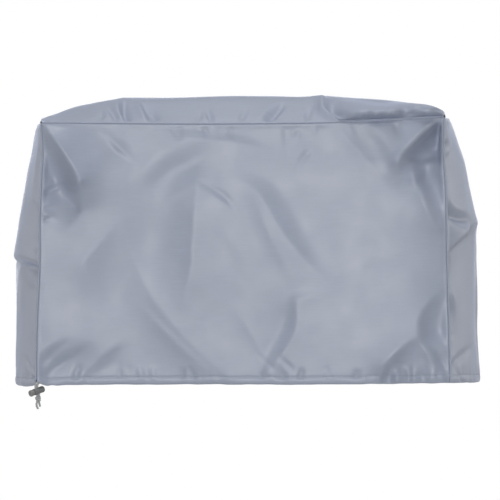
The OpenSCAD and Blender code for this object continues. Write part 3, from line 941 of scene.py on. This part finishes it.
# Side panels: the two end walls, of the same cloth and with the same seams and hem. The grill's
# handles push them out, so each bows below the top seam down to a knee and then hangs straight.
left_seed = 41
right_seed = 51
side_sag_seed = 60
left_bow = smooth_line([
    (0, 4.6), (3.5, 5.2), (7, 6.4), (13, 8.4), (34, 13.2), (66, 18), (97, 21.4), (118, 25), (139, 28.3),
    (160, 31.4), (181, 34.3), (202, 36.8), (212, 38), (223, 37.6), (265, 34.4), (318, 29.5), (350, 30.8),
    (394, 32),
])
right_bow = smooth_line([
    (0, 5), (4, 7.7), (10, 10.3), (22, 15.3), (42, 23), (63, 30), (83, 33.3), (104, 35.4), (124, 38.4),
    (145, 42.4), (156, 44.8), (165, 44.8), (220, 44.6), (318, 42), (372, 43), (394, 43),
])
left_sag = smooth_line([
    (0, 0), (150, 0), (300, 0), (345, 1.2), (384, 2.4), (400, 1.2), (414, -1.4), (430, -1.6),
])
left_folds = (
    # Crease along the knee, from the front seam, and the slope below it
    (
        [(428, 224), (400, 220), (370, 216), (300, 213), (215, 210)], (-2.0, -0.8), (14, 10),
        (1.2, 1.2, 1.0, 0.6, 0.2),
    ),
    ([(424, 252), (380, 240), (320, 214)], (-0.7, -0.7), (10, 12), (0.6, 1.0, 0.2)),
    ([(427, 374), (404, 368), (360, 350)], (-0.9, -0.8), (9, 11), (0.8, 1.0, 0.2)),
    ([(424, 386), (390, 378)], (-0.8, -0.7), (6, 8), (0.8, 1.0)),
    ([(300, 226), (296, 300), (306, 384)], (0.24, 0.1), (40, 30), (0.2, 1.0, 0.5)),
    ([(140, 214), (150, 300), (136, 384)], (0.26, 0.1), (36, 30), (0.2, 1.0, 0.5)),
    ([(6, 6), (50, 70), (90, 130)], (0.36, 0), (34, 10), (0.3, 1.0, 0.3)),
    ([(424, 6), (400, 60), (392, 110)], (0, 0.40), (10, 26), (0.3, 1.0, 0.5)),
    ([(392, 112), (410, 118), (426, 128)], (0.3, 0.3), (12, 12), (1.0, 0.5)),
    ([(215, 205), (120, 214), (30, 200)], (-0.3, -0.3), (14, 14), (0.4, 1.0, 0.3)),
    ([(200, 60), (230, 110), (220, 180)], (0.2, 0.06), (34, 30), (0.1, 1.0, 0.2)),
)
right_folds = (
    # Star of creases where the knee meets the front seam
    ([(2, 125), (12, 140), (30, 151), (93, 156)], (-1.3, -1.0), (14, 14), (0.8, 1.2, 1.3, 0.5)),
    ([(4, 200), (26, 184), (74, 161)], (2.0, 0), (22, 8), (1.0, 1.1, 0.7)),
    ([(60, 154), (150, 158), (215, 156)], (0.34, 0.30), (26, 12), (0.6, 0.8, 0.3)),
    ([(4, 42), (34, 48)], (-0.9, -0.9), (7, 8), (1.0, 0.4)),
    ([(4, 66), (26, 60), (50, 40)], (-0.8, -0.8), (8, 9), (1.0, 0.8, 0.1)),
    ([(4, 374), (34, 358), (90, 338)], (-0.9, -0.8), (9, 12), (0.8, 1.0, 0.2)),
    ([(12, 366), (40, 392)], (-0.8, -0.7), (7, 8), (0.6, 1.0)),
    ([(3, 258), (14, 284), (18, 318)], (-0.3, -0.9), (8, 16), (0.8, 1.0, 0.1)),
    ([(180, 165), (186, 260), (170, 384)], (0.28, 0.1), (36, 30), (0.2, 1.0, 0.5)),
    ([(320, 165), (300, 270), (310, 384)], (0.1, 0.28), (30, 36), (0.2, 1.0, 0.5)),
    ([(6, 6), (30, 60), (40, 104)], (0.36, 0), (26, 10), (0.3, 1.0, 0.4)),
    ([(424, 6), (384, 66), (340, 130)], (0, 0.36), (10, 34), (0.3, 1.0, 0.3)),
    ([(216, 156), (320, 150), (420, 166)], (0.3, 0.3), (20, 14), (0.3, 1.0, 0.5)),
)
side_creases = (
    (18, (12, 5), (418, 5), (0, 24), 1.5),
    (16, (5, 20), (5, 370), (24, 0), 2.6),
    (16, (425, 20), (425, 370), (-24, 0), 2.6),
    (26, (10, 382), (420, 382), (0, -22), 1.8),
)
side_waves = ((2.0, 80), (0.45, 24))


def side_place(side):
    """Where a side panel lies, with -1 for the left one and 1 for the right one."""
    seam, bow, sag = (left_seam, left_bow, left_sag) if side < 0 else (right_seam, right_bow, np.zeros_like)

    def place(s, t, depth):
        y = side * (s - half_d)
        out = bow(t) * bowed(y)
        x = seam(t) + side * (out - depth)
        edge = seam(0.0)
        z = top_seam(edge) + (hem_low(seam(wall_h)) - top_seam(edge)) * t / wall_h
        z = z - hem_drop(s, t, sag, side_sag_seed + side)
        return np.stack([x, y, z], axis=-1)

    return place


walls = {"front": (front_cloth, front_points, front_flat), "back": (back_cloth, back_points, back_flat)}
for side, name, folds, seed in ((-1, "left", left_folds, left_seed), (1, "right", right_folds, right_seed)):
    walls[name] = cloth_piece(
        f"{name}_cloth", sewn_lines(cover_d, coarse_cell), hem_lines(coarse_cell), side_place(side),
        wall_lie(cover_d, folds, side_creases, side_waves, plain_gather, seed),
        wall_keep(cover_d, False, side < 0),
    )
    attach(walls[name][0], "cover")
    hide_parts(f"{name}_panel")

# Hem stitching: one row of lockstitch in polyester thread round the cover, through the wall and the
# inner ply of the hem, just above the tunnel.
stitch_pitch = 3.4 * MM
stitch_long = 2.8 * MM
thread_d = 0.7 * MM
thread_grain = 1800.0
thread_rough = (0.45, 0.7)
thread_colour = (0.20, 0.22, 0.27, 1.0)
thread_pale = (0.30, 0.33, 0.39, 1.0)
fold_start = -len(hem_turns) - ply_rows
fold_end = -ply_rows - 1
stitch_row = fold_start - len(hem_steps) + np.argmin(np.abs(hem_steps - stitch_up))


def node_tree(name, numbers):
    """An empty geometry tree with named number inputs, and its input node."""
    tree = bpy.data.node_groups.new(name, "GeometryNodeTree")
    tree.is_modifier = True
    tree.interface.new_socket("Geometry", in_out="INPUT", socket_type="NodeSocketGeometry")
    for label, value in numbers.items():
        kind = "NodeSocketInt" if isinstance(value, int) else "NodeSocketFloat"
        tree.interface.new_socket(label, in_out="INPUT", socket_type=kind).default_value = value
    tree.interface.new_socket("Geometry", in_out="OUTPUT", socket_type="NodeSocketGeometry")
    return tree, add_node(tree, "NodeGroupInput").outputs


def finish_tree(tree, instances, material):
    """Ends a geometry tree with real, smooth geometry in one material."""
    real = add_node(tree, "GeometryNodeRealizeInstances", {0: instances})
    smooth = add_node(tree, "GeometryNodeSetShadeSmooth", {0: real.outputs[0]})
    coloured = add_node(tree, "GeometryNodeSetMaterial", {0: smooth.outputs[0], "Material": material})
    add_node(tree, "NodeGroupOutput", {0: coloured.outputs[0]})


def grown(name, base, tree, **numbers):
    """The plain mesh that a geometry tree makes from a base mesh, as a piece of its own."""
    maker = place_object(name + "_base", base)
    modifier = maker.modifiers.new("grow", "NODES")
    modifier.node_group = tree
    for item in tree.interface.items_tree:
        if item.in_out == "INPUT" and item.name in numbers:
            modifier[item.identifier] = numbers[item.name]
    made = bpy.data.meshes.new_from_object(maker.evaluated_get(bpy.context.evaluated_depsgraph_get()))
    bpy.data.objects.remove(maker)
    return place_object(name, made)


def fine_finish(name, dark, pale, scale, detail, rough):
    """A finish that wanders between two tones and two roughnesses, for thread, fibres and wire."""
    material, tree, shader = new_finish(name)
    tone = noise(tree, add_node(tree, "ShaderNodeTexCoord").outputs["Object"], scale, detail)
    spread = add_node(tree, "ShaderNodeMapRange", {0: tone, 3: rough[0], 4: rough[1]})
    set_finish(tree, shader, tone, dark, pale, spread)
    return material


stitches, stitch_in = node_tree(
    "stitches", {"Pitch": stitch_pitch, "Length": stitch_long, "Thread": thread_d}
)
stitch_line = add_node(stitches, "GeometryNodeMeshToCurve", {0: stitch_in["Geometry"]})
stitch_places = add_node(
    stitches, "GeometryNodeResampleCurve",
    {"Curve": stitch_line.outputs[0], "Length": stitch_in["Pitch"]}, mode="LENGTH",
)
stitch_ball = add_node(stitches, "GeometryNodeMeshUVSphere", {"Segments": 6, "Rings": 4, "Radius": 0.5})
stitch_size = add_node(
    stitches, "ShaderNodeCombineXYZ",
    {0: stitch_in["Length"], 1: stitch_in["Thread"], 2: stitch_in["Thread"]},
)
stitch_shape = add_node(
    stitches, "GeometryNodeTransform", {"Geometry": stitch_ball.outputs[0], "Scale": stitch_size.outputs[0]}
)
stitch_way = add_node(
    stitches, "FunctionNodeAlignRotationToVector",
    {"Vector": add_node(stitches, "GeometryNodeInputTangent").outputs[0]}, axis="X",
)
stitch_set = add_node(
    stitches, "GeometryNodeInstanceOnPoints",
    {
        "Points": stitch_places.outputs[0], "Instance": stitch_shape.outputs[0],
        "Rotation": stitch_way.outputs[0],
    },
)
sewing_thread = fine_finish("sewing_thread", thread_colour, thread_pale, thread_grain, 2.0, thread_rough)
finish_tree(stitches, stitch_set.outputs[0], sewing_thread)

seam_rows = len(sewn_edge()) + 1
for name, (wall_cloth, wall_points, wall_flat) in walls.items():
    row = wall_points[stitch_row, seam_rows:-seam_rows]
    line = bpy.data.meshes.new(f"{name}_stitch_line")
    line.from_pydata(row.tolist(), [(k, k + 1) for k in range(len(row) - 1)], [])
    stitching = grown(
        f"{name}_stitching", line, stitches, Pitch=stitch_pitch, Length=stitch_long, Thread=thread_d
    )
    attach(stitching, "cover")

# Drawcord: soft braided polyester, all the way round in the hem. Its two ends turn down out of the
# hem at the front left corner.
cord_d = 3.2 * MM
cord_r = cord_d / 2
cord_sides = 32
hidden_sides = 16
braid_lobes = 8
braid_pitch = 3.6 * MM
braid_level = 0.6
braid_bump = 0.5
braid_depth = 0.15 * MM
cord_rough = (0.6, 0.85)
cord_sheen = 0.15
fuzz_grain = 2600.0
fuzz_share = 0.4
cord_dark = (0.235, 0.240, 0.250, 1.0)
cord_pale = (0.430, 0.438, 0.450, 1.0)
exit_at = np.array([-310, -211, -438.4]) * MM
strand_off = 1.7 * MM
lock_turn = math.radians(35)
turn_r = 4.5 * MM
strand_drop = 1 * MM
corner_in = 6 * MM
corner_run = 17 * MM
hem_cut = 8 * MM
hem_step = 1.5 * MM
front_way = (-2, 1, 0)
left_way = (0, -1, 0)


def heading(run, up):
    """A step along the lock's barrel, seen from above, and up."""
    return np.array([run * math.cos(lock_turn), run * math.sin(lock_turn), up])


def aside(out):
    """A step across the lock's barrel."""
    return np.array([-out * math.sin(lock_turn), out * math.cos(lock_turn), 0])


def rounded_way(corners, cut, step):
    """Points at even steps along straight stretches whose corners are rounded off over the cut."""
    corners = np.array(corners)
    way = [corners[0]]
    for before, corner, after in zip(corners, corners[1:], corners[2:]):
        starts, ends = (
            corner + (other - corner) * min(0.5, cut / np.linalg.norm(other - corner))
            for other in (before, after)
        )
        for u in np.linspace(0, 1, 9):
            way.append(starts * (1 - u) ** 2 + corner * 2 * u * (1 - u) + ends * u * u)
    way = np.array(way + [corners[-1]])
    run = np.concatenate([[0], np.linalg.norm(np.diff(way, axis=0), axis=1).cumsum()])
    at = np.linspace(0, run[-1], max(round(run[-1] / step), 2) + 1)
    return np.column_stack([np.interp(at, run, way[:, k]) for k in range(3)])


def cord_tube(name, way, radius, along, relief, sides, material):
    """A round cord with domed ends over the points of a way. along is each ring's place on the cord as
    the braid counts it, and relief the height of the braid's yarns, both in metres."""
    ahead = np.gradient(way, axis=0)
    ahead /= np.linalg.norm(ahead, axis=1)[:, None]
    first = np.cross(ahead[0], (0, 0, 1) if abs(ahead[0][2]) < 0.9 else (1, 0, 0))
    first /= np.linalg.norm(first)
    rings, places = [], []
    dome = np.radians(np.arange(75, -1, -15))
    turns = np.linspace(0, 2 * math.pi, sides, endpoint=False)

    def ring(middle, side, forth, size, place, lift):
        other = np.cross(forth, side)
        braid = 2 * math.pi * place / braid_pitch
        yarns = np.maximum(np.cos(braid_lobes / 2 * turns + braid), np.cos(braid_lobes / 2 * turns - braid))
        size = size + lift * (yarns - braid_level)
        rings.append(middle + np.outer(size * np.cos(turns), side) + np.outer(size * np.sin(turns), other))
        places.append(place)

    side = first
    for k, (middle, forth) in enumerate(zip(way, ahead)):
        side = side - forth * (side @ forth)
        side = side / np.linalg.norm(side)
        if k == 0:
            for a in dome[:-1]:
                ring(middle - forth * radius * math.sin(a), side, forth, radius * math.cos(a), along[0], 0)
        ring(middle, side, forth, radius, along[k], relief[k])
    for a in dome[-2::-1]:
        ring(way[-1] + ahead[-1] * radius * math.sin(a), side, ahead[-1], radius * math.cos(a), along[-1], 0)
    count = len(rings)
    points = np.vstack(rings + [way[0] - ahead[0] * radius, way[-1] + ahead[-1] * radius])
    faces, uvs = [], []
    for i in range(count - 1):
        for j in range(sides):
            k = (j + 1) % sides
            faces.append((i * sides + j, i * sides + k, (i + 1) * sides + k, (i + 1) * sides + j))
            uvs += [(j / sides, places[i]), ((j + 1) / sides, places[i])]
            uvs += [((j + 1) / sides, places[i + 1]), (j / sides, places[i + 1])]
    for j in range(sides):
        k = (j + 1) % sides
        faces.append((k, j, count * sides))
        faces.append(((count - 1) * sides + j, (count - 1) * sides + k, count * sides + 1))
        uvs += [((j + 1) / sides, places[0]), (j / sides, places[0]), ((j + 0.5) / sides, places[0])]
        uvs += [(j / sides, places[-1]), ((j + 1) / sides, places[-1]), ((j + 0.5) / sides, places[-1])]
    mesh = bpy.data.meshes.new(name)
    mesh.from_pydata(points.tolist(), [], faces)
    mesh.uv_layers.new(name="braid").data.foreach_set("uv", np.array(uvs, np.float32).ravel())
    mesh.shade_smooth()
    mesh.materials.append(material)
    piece = place_object(name, mesh)
    return piece


def braided_cord():
    """Two sets of yarns that cross, with painted shade where they go under, on the cord's own UV map."""
    material, tree, shader = new_finish("braided_cord")
    around = add_node(
        tree, "ShaderNodeSeparateXYZ", {0: add_node(tree, "ShaderNodeUVMap", uv_map="braid").outputs[0]}
    ).outputs
    lobes = add_node(
        tree, "ShaderNodeMath", {0: around["X"], 1: math.pi * braid_lobes}, operation="MULTIPLY"
    ).outputs[0]
    climb = add_node(
        tree, "ShaderNodeMath", {0: around["Y"], 1: 2 * math.pi / braid_pitch}, operation="MULTIPLY"
    ).outputs[0]
    sets = []
    for operation in ("ADD", "SUBTRACT"):
        turn = add_node(tree, "ShaderNodeMath", {0: lobes, 1: climb}, operation=operation).outputs[0]
        sets.append(add_node(tree, "ShaderNodeMath", {0: turn}, operation="COSINE").outputs[0])
    yarns = add_node(tree, "ShaderNodeMath", {0: sets[0], 1: sets[1]}, operation="MAXIMUM").outputs[0]
    place = add_node(tree, "ShaderNodeTexCoord").outputs["Object"]
    fuzz = noise(tree, place, fuzz_grain, 3.0)
    # Painted shade: the colour goes darker in the crevices where one set of yarns goes under the other,
    # mixed with a random fuzz tone; the same sum drives the bump.
    lit = add_node(tree, "ShaderNodeMapRange", {0: yarns, 1: -0.2, 2: 1.0, 3: 0.0, 4: 0.8}).outputs[0]
    both = add_node(
        tree, "ShaderNodeMath", {0: fuzz, 1: fuzz_share, 2: lit}, operation="MULTIPLY_ADD"
    ).outputs[0]
    rough = add_node(tree, "ShaderNodeMapRange", {0: fuzz, 3: cord_rough[0], 4: cord_rough[1]})
    bump = add_node(
        tree, "ShaderNodeBump", {"Height": both, "Strength": braid_bump, "Distance": braid_depth}
    )
    set_finish(tree, shader, both, cord_dark, cord_pale, rough, bump)
    shader.inputs["Sheen Weight"].default_value = cord_sheen
    return material


def turn_down(end, way):
    """A quarter turn from the level hem to straight down."""
    way = np.array(way) / np.linalg.norm(way)
    low = end + np.array([0, 0, strand_drop])
    arc = [
        low + turn_r * (way * (math.sin(a) - 1) + np.array([0, 0, math.cos(a)]))
        for a in np.radians(range(0, 91, 15))
    ]
    return np.array(arc + [end])


def tunnel(name, first, last):
    """The middle of a wall's hem tunnel, from one distance along it to another."""
    points = walls[name][1]
    middle = (points[fold_start] + points[fold_end]) / 2
    width = cover_w if name in ("front", "back") else cover_d
    lines = sewn_lines(width, cell if name == "front" else coarse_cell)
    return middle[(lines[:, 0] > first) & (lines[:, 0] < width - last) & (lines[:, 1] == 0)]


cord_material = braided_cord()
hem_runs = [
    tunnel("front", exit_clear, corner_run), tunnel("right", corner_run, corner_run),
    tunnel("back", corner_run, corner_run), tunnel("left", corner_run, exit_clear),
]
right_turn = right_seam(wall_h) - corner_in
left_turn = left_seam(wall_h) + corner_in
deep_turn = half_d - corner_in
corner_turns = ((right_turn, -deep_turn), (right_turn, deep_turn), (left_turn, deep_turn))
hem_way = [turn_down(exit_at + heading(strand_off, 0), front_way)[::-1], hem_runs[0]]
for run, following, turn in zip(hem_runs, hem_runs[1:], corner_turns):
    hem_way += [np.array([[*turn, (run[-1][2] + following[0][2]) / 2]]), following]
hem_way.append(turn_down(exit_at - heading(strand_off, 0), left_way))
hem_way = rounded_way(np.vstack(hem_way), hem_cut, hem_step)
hem_along = np.arange(len(hem_way)) * hem_step
hem_cord = cord_tube(
    "hem_cord", hem_way, cord_r, hem_along, np.zeros(len(hem_way)), hidden_sides, cord_material
)
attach(hem_cord, "cover")
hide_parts("drawcord")

# Cord lock: a moulded barrel with a slot through it for both cords, a sprung plunger with a round
# button in it, and a coil of steel wire between the plunger and the closed end.
barrel_dark = (0.120, 0.125, 0.128, 1.0)
barrel_pale = (0.175, 0.181, 0.184, 1.0)
button_dark = (0.170, 0.165, 0.162, 1.0)
button_pale = (0.235, 0.228, 0.224, 1.0)
wire_dark = (0.42, 0.42, 0.43, 1.0)
wire_pale = (0.66, 0.66, 0.66, 1.0)
lock_shift = 1.5788 * MM
lock_drop = 7.164 * MM
lock_tilt = math.radians(17)
wire_r = 0.3 * MM
coil_r = 2.1 * MM
coil_turns = 4
coil_from = 4.75 * MM
coil_to = 10.45 * MM
coil_sides = 10
turn_points = 24
wire_grain = 5200.0
wire_rough = (0.22, 0.42)
plastic_rough = (0.34, 0.52)
mould_grain = 3200.0
mould_cloud = 420.0
mould_bump = 0.25
mould_depth = 0.05 * MM


def moulded_plastic(name, dark, pale):
    """Satin moulded plastic: a fine grain from the mould, and a cloudy tone with rubbed spots."""
    material, tree, shader = new_finish(name)
    place = add_node(tree, "ShaderNodeTexCoord").outputs["Object"]
    grain = noise(tree, place, mould_grain, 2.0)
    cloud = noise(tree, place, mould_cloud, 4.0)
    rough = add_node(
        tree, "ShaderNodeMapRange", {0: cloud, 1: 0.3, 2: 0.7, 3: plastic_rough[0], 4: plastic_rough[1]}
    )
    bump = add_node(
        tree, "ShaderNodeBump", {"Height": grain, "Strength": mould_bump, "Distance": mould_depth}
    )
    set_finish(tree, shader, cloud, dark, pale, rough, bump)
    return material


lock_barrel = frame["nodes"]["lock_barrel"]
lock_plunger = frame["nodes"]["lock_plunger"]
lock_barrel.material_slots[0].material = moulded_plastic("lock_shell", barrel_dark, barrel_pale)
lock_plunger.material_slots[0].material = moulded_plastic("lock_button", button_dark, button_pale)

drawn_wire = fine_finish("drawn_wire", wire_dark, wire_pale, wire_grain, 3.0, wire_rough)
drawn_wire.node_tree.nodes["Principled BSDF"].inputs["Metallic"].default_value = 1.0
lock_at = exit_at + heading(lock_shift, -lock_drop)
lock_ahead = heading(math.cos(lock_tilt), math.sin(lock_tilt))
lock_up = heading(-math.sin(lock_tilt), math.cos(lock_tilt))
coil_turn = 2 * math.pi * coil_turns
coil_way = []
for turn in np.linspace(0, coil_turn, coil_turns * turn_points + 1):
    along = coil_from + (coil_to - coil_from) * turn / coil_turn
    around = aside(coil_r * math.cos(turn)) + coil_r * math.sin(turn) * lock_up
    coil_way.append(lock_at + along * lock_ahead + around)
coil_flat = np.zeros(len(coil_way))
spring_coil = cord_tube(
    "spring_coil", np.array(coil_way), wire_r, coil_flat, coil_flat, coil_sides, drawn_wire
)
# The coil is made as a cord is, but of wire
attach(spring_coil, "cord_lock")
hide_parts("lock_spring")
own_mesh(spring_coil)

# Free ends of the drawcord: both come out of the hem, go through the lock and the knot under it, and
# hang as two cut tails. The stretch just above the knot is what grows when the cord is drawn.
knot_top = -2 * lock_drop
knot_h = 8 * MM
grow_h = 2 * MM
fine_step = 0.3 * MM
yarn_relief = 0.12 * MM
fray_cut = 2 * MM
straight_drop = 2 * MM
strand_cut = 0.95 * MM
grow_rings = 301
long_tail = ((0, 0, -1.6), (-1.2, 0.2, -4), (-0.5, 0.3, -8), (1.9, 0.2, -11.5))
short_tail = ((0, 0, -2), (0.8, -0.3, -5), (1.8, -0.4, -8))


def free_end(name, side, tail):
    """One free end as a tube, with many close rings where it grows, and the points that it follows."""
    top = exit_at + heading(side * strand_off, 0)
    low = top + heading(2 * lock_shift, knot_top - knot_h)
    corners = [
        top, top + heading(0, -straight_drop), top + heading(2 * lock_shift, knot_top + grow_h),
        top + heading(2 * lock_shift, knot_top),
    ]
    corners += [low + heading(run * MM, down * MM) + aside(out * MM) for run, out, down in tail]
    way = rounded_way(corners, strand_cut, fine_step)
    way = way[:-round(fray_cut / fine_step)]
    start = exit_at[2] + knot_top + grow_h
    end = exit_at[2] + knot_top
    before = way[way[:, 2] > start]
    after = way[way[:, 2] < end]
    share = np.linspace(0, 1, grow_rings)
    even = 0.5 - np.sin(np.arcsin(1 - 2 * share) / 3)
    growing = np.column_stack([
        np.interp(start - even * grow_h, way[::-1, 2], way[::-1, k]) for k in range(3)
    ])
    way = np.vstack([before, growing, after])
    along = np.concatenate([[0], np.linalg.norm(np.diff(way, axis=0), axis=1).cumsum()])
    first, last = len(before), len(before) + len(growing) - 1
    along[first:last + 1] += share * drawn_out
    along[last + 1:] += drawn_out
    relief = np.full(len(way), yarn_relief)
    relief[:2] = 0
    relief[first - 1:last + 2] = 0
    return cord_tube(name, way, cord_r, along, relief, cord_sides, cord_material), way


cord_long, long_way = free_end("cord_long", -1, long_tail)
cord_short, short_way = free_end("cord_short", 1, short_tail)

# Overhand knot: both cords tied together under the lock and drawn up tight. Its turns go round the two
# cords, with one pass slanting over them.
knot_at = exit_at + heading(2 * lock_shift, knot_top)
knot_cord_r = 1.45 * MM
knot_cut = 2 * MM
turns_out = 2.9
turns_waver = 0.15
turns_flat = 0.86
turns_from = -1.7
turns_pitch = 2.35
pass_out = 3.2
pass_waver = 0.2
pass_flat = 0.9
pass_from = -6.4
pass_climb = 4.6
pass_end = 3.9


def knot_turn_way():
    """Two close turns and one pass that climbs over them."""
    places = []
    for a in np.linspace(0, 4 * math.pi, 49):
        out = turns_out + turns_waver * math.sin(2 * a)
        down = turns_from - turns_pitch * a / (2 * math.pi)
        places.append((out * math.cos(a), turns_flat * out * math.sin(a), down))
    for a in np.linspace(0.25, math.pi * 1.25, 20):
        out = pass_out + pass_waver * math.sin(a)
        down = pass_from + pass_climb * ease(a / pass_end)
        places.append((out * math.cos(a), pass_flat * out * math.sin(a), down))
    return np.array([knot_at + heading(x * MM, z * MM) + aside(y * MM) for x, y, z in places])


knot_way = rounded_way(knot_turn_way(), knot_cut, fine_step)
knot_along = np.arange(len(knot_way)) * fine_step
knot_relief = np.full(len(knot_way), yarn_relief)
knot_turns = cord_tube(
    "knot_turns", knot_way, knot_cord_r, knot_along, knot_relief, cord_sides, cord_material
)
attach(knot_turns, "cord_end")
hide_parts("cord_knot")

# Frayed tips: the cut ends of the braid have opened into loose fibres, which spread out of the end of
# each cord.
fibre_count = 70
fibre_long = 3.4 * MM
fibre_d = 0.16 * MM
fibre_spread = 0.55
fibre_least_size = 0.45
fibre_grain = 1500.0
fibre_rough = (0.55, 0.8)
tip_r = 0.9 * cord_r
tip_sides = 16
fibre_density = fibre_count / (math.pi * tip_r**2)

fibres, fibre_in = node_tree("fibres", {
    "Density": fibre_density, "Length": fibre_long, "Thick": fibre_d / 2, "Spread": fibre_spread, "Seed": 1,
})
fibre_places = add_node(
    fibres, "GeometryNodeDistributePointsOnFaces",
    {"Mesh": fibre_in["Geometry"], "Density": fibre_in["Density"], "Seed": fibre_in["Seed"]},
)
fibre_shape = add_node(
    fibres, "GeometryNodeMeshCone",
    {
        "Vertices": 4, "Side Segments": 3, "Radius Top": fibre_d / 6, "Radius Bottom": fibre_in["Thick"],
        "Depth": fibre_in["Length"],
    },
)
fibre_least = add_node(fibres, "ShaderNodeMath", {0: fibre_in["Spread"], 1: -1.0}, operation="MULTIPLY")
fibre_lean = add_node(fibres, "ShaderNodeCombineXYZ", {0: fibre_in["Spread"], 1: fibre_in["Spread"]})
fibre_back = add_node(
    fibres, "ShaderNodeCombineXYZ", {0: fibre_least.outputs[0], 1: fibre_least.outputs[0]}
)
fibre_turn = add_node(
    fibres, "FunctionNodeRandomValue",
    {"Min": fibre_back.outputs[0], "Max": fibre_lean.outputs[0], "Seed": fibre_in["Seed"]},
    data_type="FLOAT_VECTOR",
)
fibre_way = add_node(
    fibres, "FunctionNodeRotateRotation",
    {0: fibre_places.outputs["Rotation"], 1: fibre_turn.outputs[0]}, rotation_space="LOCAL",
)
fibre_size = add_node(
    fibres, "FunctionNodeRandomValue", {2: fibre_least_size, 3: 1.0, "Seed": fibre_in["Seed"]},
    data_type="FLOAT",
)
fibre_set = add_node(
    fibres, "GeometryNodeInstanceOnPoints",
    {
        "Points": fibre_places.outputs["Points"], "Instance": fibre_shape.outputs[0],
        "Rotation": fibre_way.outputs[0], "Scale": fibre_size.outputs[1],
    },
)
loose_fibres = fine_finish("loose_fibres", cord_dark, cord_pale, fibre_grain, 2.0, fibre_rough)
finish_tree(fibres, fibre_set.outputs[0], loose_fibres)

frays = {}
for name, way, seed in (("fray_long", long_way, 3), ("fray_short", short_way, 4)):
    forth = way[-1] - way[-4]
    forth = forth / np.linalg.norm(forth)
    side = np.cross(forth, (0, 1, 0))
    side = side / np.linalg.norm(side)
    other = np.cross(forth, side)
    turns = np.linspace(0, 2 * math.pi, tip_sides, endpoint=False)
    rim = way[-1] + tip_r * (np.outer(np.cos(turns), side) + np.outer(np.sin(turns), other))
    tip = bpy.data.meshes.new(f"{name}_tip")
    tip.from_pydata(rim.tolist(), [], [tuple(range(tip_sides))])
    frays[name] = grown(
        name, tip, fibres, Density=fibre_density, Length=fibre_long, Thick=fibre_d / 2, Spread=fibre_spread,
        Seed=seed,
    )
    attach(frays[name], "cord_end")

for piece, way, others in (
    (cord_long, long_way, [knot_turns, frays["fray_long"], lock_barrel, lock_plunger, spring_coil]),
    (cord_short, short_way, [frays["fray_short"]]),
):
    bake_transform(piece)
    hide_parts("cord_strands", "cord_tails")
